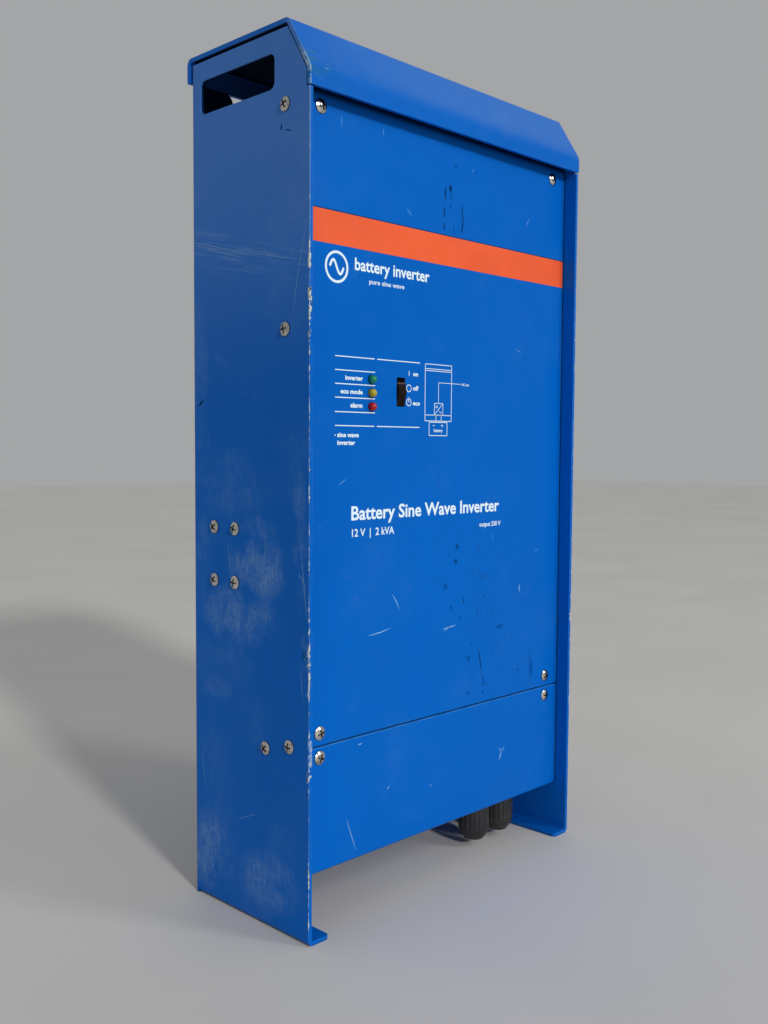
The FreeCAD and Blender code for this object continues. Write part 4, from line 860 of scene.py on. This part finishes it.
DIM_DRIPS = (((1.2, 446.3), (1.3, 441.0), 1.8, 76), ((0.5, 439.5), (0.6, 435.6), 1.4, 77),
             ((3.7, 426.0), (3.8, 418.9), 1.3, 78), ((92.1, 142.0), (92.7, 113.8), 1.6, 79))
SMEARS = (((-94.2, 472.6), (-94.4, 465.5), 1.2, 44), ((-60.1, 473.0), (-60.4, 467.4), 1.1, 49),
          ((47.4, 226.2), (47.5, 220.8), 0.9, 50))
# the next two are points along one scratch
LONG_SCRATCH = ((-59.7, 407.6), (-57.0, 398.0), (-54.3, 388.0), (-52.0, 378.0), (-50.0, 368.0),
                (-48.2, 359.0))
LOWER_SCRATCH = ((-55.4, 225.5), (-56.3, 218.0), (-57.4, 209.9), (-58.5, 201.0), (-59.5, 192.2),
                 (-61.2, 185.1))
SIDE_SCRATCHES = (((47.2, 409.0), (8.0, 399.0), 0.4, 31), ((40.0, 404.5), (-8.0, 392.5), 0.4, 32),
                  ((0.0, 398.0), (-60.8, 386.0), 0.3, 33), ((-57.1, 141.9), (-55.0, 160.0), 0.3, 36),
                  ((-60.0, 205.0), (-52.0, 214.0), 0.4, 37), ((12.0, 226.0), (8.0, 202.0), 0.25, 38),
                  ((-24.0, 236.0), (-22.0, 214.0), 0.25, 39), ((40.0, 92.0), (34.0, 66.0), 0.25, 40),
                  ((4.0, 58.0), (-16.0, 66.0), 0.25, 42))
SIDE_GRIME = (((36.0, 312.2), (41.2, 308.6), 2.0, 81), ((-38.3, 463.4), (-37.9, 459.8), 1.3, 82),
              ((-41.5, 459.6), (-47.2, 457.8), 0.8, 83))


def nicks(bm):
    """Short fine scratches, each in a direction and of a length of its own."""
    for x, z, seed in NICKS:
        rng = random.Random(seed)
        turn = rng.uniform(-1.2, 1.2)
        length = rng.uniform(3, 8)
        end = (x + length * math.cos(turn), z + length * math.sin(turn))
        scar(bm, wander((x, z), end, 0.3, 8, seed), 0.28)


def marks_on_front(light, dark):
    bm = bmesh.new()
    scars(bm, FRONT_SCRATCHES, 0.5, 14)
    nicks(bm)
    piece("front_scratches", bm, light, "case")

    bm = bmesh.new()
    scars(bm, COVER_SCRATCHES, 0.3, 6)
    piece("cover_scratches", bm, light, "cover")

    # dried drips and spots, with a line of dirt along the top of the stripe
    bm = bmesh.new()
    scars(bm, DRIPS, 0.25, 10)
    blots(bm, DARK_SPOTS, DARK_LIFT)
    bar(bm, -124.2, STRIPE_HIGH + 0.3, 124.1, STRIPE_HIGH + 0.3, 0.6)
    piece("front_drips", bm, dark, "case")

    bm = bmesh.new()
    blots(bm, DIM_SPOTS, FILM_LIFT)
    scars(bm, DIM_DRIPS, 0.3, 12)
    piece("front_grime", bm, ink("mark_dim", (0.0, 0.080, 0.355), (0.0, 0.105, 0.46), 0.03),
          "case")

    bm = bmesh.new()
    scars(bm, SMEARS, 0.5, 12)
    piece("front_smears", bm, ink("smear", (0.035, 0.20, 0.60), (0.0, 0.13, 0.53), 0.05),
          "case")


def marks_on_side(pale, dark):
    bm = bmesh.new()
    scar(bm, LONG_SCRATCH, 0.35, on_side=True)
    scar(bm, LOWER_SCRATCH, 0.4, on_side=True)
    scars(bm, SIDE_SCRATCHES, 0.9, 16, on_side=True)
    piece("side_scratches", bm, pale, "case")

    bm = bmesh.new()
    scars(bm, SIDE_GRIME, 0.3, 6, on_side=True)
    piece("side_grime", bm, dark, "case")


def marks():
    light = ink("scratch_light", (0.20, 0.42, 0.70), (0.05, 0.22, 0.55))
    pale = ink("scratch_pale", (0.16, 0.33, 0.52), (0.04, 0.17, 0.42))
    dark = ink("mark_dark", (0.001, 0.040, 0.140), (0.0, 0.075, 0.330), 0.03)
    marks_on_front(light, dark)
    marks_on_side(pale, dark)


# ---- stage ---------------------------------------------------------------------------------------
FLOOR = ((-6, -5), (7, -5), (7, 6), (-6, 6))   # its corners, in metres
SUN_DIRECTION = Vector((0.25, 1.0, -0.46))
SUN_ENERGY, SUN_ANGLE = 1.55, 0.11
SOFTBOX_PLACE, SOFTBOX_AIM = Vector((1.1, -2.6, 1.9)), Vector((0, 0, 0.25))
SOFTBOX_SIZE, SOFTBOX_ENERGY = (0.6, 0.9), 22
WORLD_COLOUR, WORLD_STRENGTH = (0.90, 0.915, 0.93, 1), 0.41
CAMERA_PLACE = (-0.5102, -0.4953, 0.2852)
YAW, PITCH, ROLL = (math.radians(angle) for angle in (45.561, -3.643, 0.353))
SENSOR, LENS = 36.0, 36.72                     # millimetres


def floor():
    bm = bmesh.new()
    bm.faces.new([bm.verts.new((x, y, 0)) for x, y in FLOOR])
    mesh = bpy.data.meshes.new("floor")
    bm.to_mesh(mesh)
    bm.free()
    s = Shader("floor_pale", Specular_IOR_Level=0.3)
    s.set("Base Color", s.blend(s.step(s.noise(3.0, 4.0), 0.3, 0.7), (0.60, 0.59, 0.57), (0.64, 0.63, 0.61)))
    s.set("Roughness", s.step(s.noise(6.0), 0.3, 0.7, 0.55, 0.65))
    mesh.materials.append(s.mat)
    obj = bpy.data.objects.new("floor", mesh)
    bpy.context.collection.objects.link(obj)


def place_light(name, data, direction, location=(0, 0, 0)):
    obj = bpy.data.objects.new(name, data)
    obj.location = location
    obj.rotation_euler = direction.to_track_quat("-Z", "Y").to_euler()
    bpy.context.collection.objects.link(obj)


def lights():
    sun = bpy.data.lights.new("key", "SUN")
    sun.energy = SUN_ENERGY
    sun.angle = SUN_ANGLE
    sun.color = (1.0, 0.985, 0.96)
    place_light("key", sun, SUN_DIRECTION)
    softbox = bpy.data.lights.new("softbox", "AREA")
    softbox.shape = "RECTANGLE"
    softbox.size, softbox.size_y = SOFTBOX_SIZE
    softbox.energy = SOFTBOX_ENERGY
    place_light("softbox", softbox, SOFTBOX_AIM - SOFTBOX_PLACE, SOFTBOX_PLACE)
    world = bpy.data.worlds.new("studio")
    bpy.context.scene.world = world
    world.use_nodes = True
    background = world.node_tree.nodes["Background"]
    background.inputs["Color"].default_value = WORLD_COLOUR
    background.inputs["Strength"].default_value = WORLD_STRENGTH


def camera():
    """From the front left, at about half the height, looking a little down."""
    ahead = Vector((math.sin(YAW) * math.cos(PITCH), math.cos(YAW) * math.cos(PITCH), math.sin(PITCH)))
    right = Vector((math.cos(YAW), -math.sin(YAW), 0))
    up = right.cross(ahead)
    across = right * math.cos(ROLL) + up * math.sin(ROLL)
    upward = up * math.cos(ROLL) - right * math.sin(ROLL)
    turn = Matrix((across, upward, -ahead)).transposed().to_4x4()
    data = bpy.data.cameras.new("camera")
    data.sensor_width = SENSOR
    data.lens = LENS
    data.clip_start = 0.02
    obj = bpy.data.objects.new("camera", data)
    obj.matrix_world = Matrix.Translation(CAMERA_PLACE) @ turn
    bpy.context.collection.objects.link(obj)
    bpy.context.scene.camera = obj


bpy.context.scene.view_settings.view_transform = "Standard"
camera()
lights()
floor()
dress_case()
dress_metal_parts()
dress_plastic_parts()
dress_electric_parts()
printing()
marks()
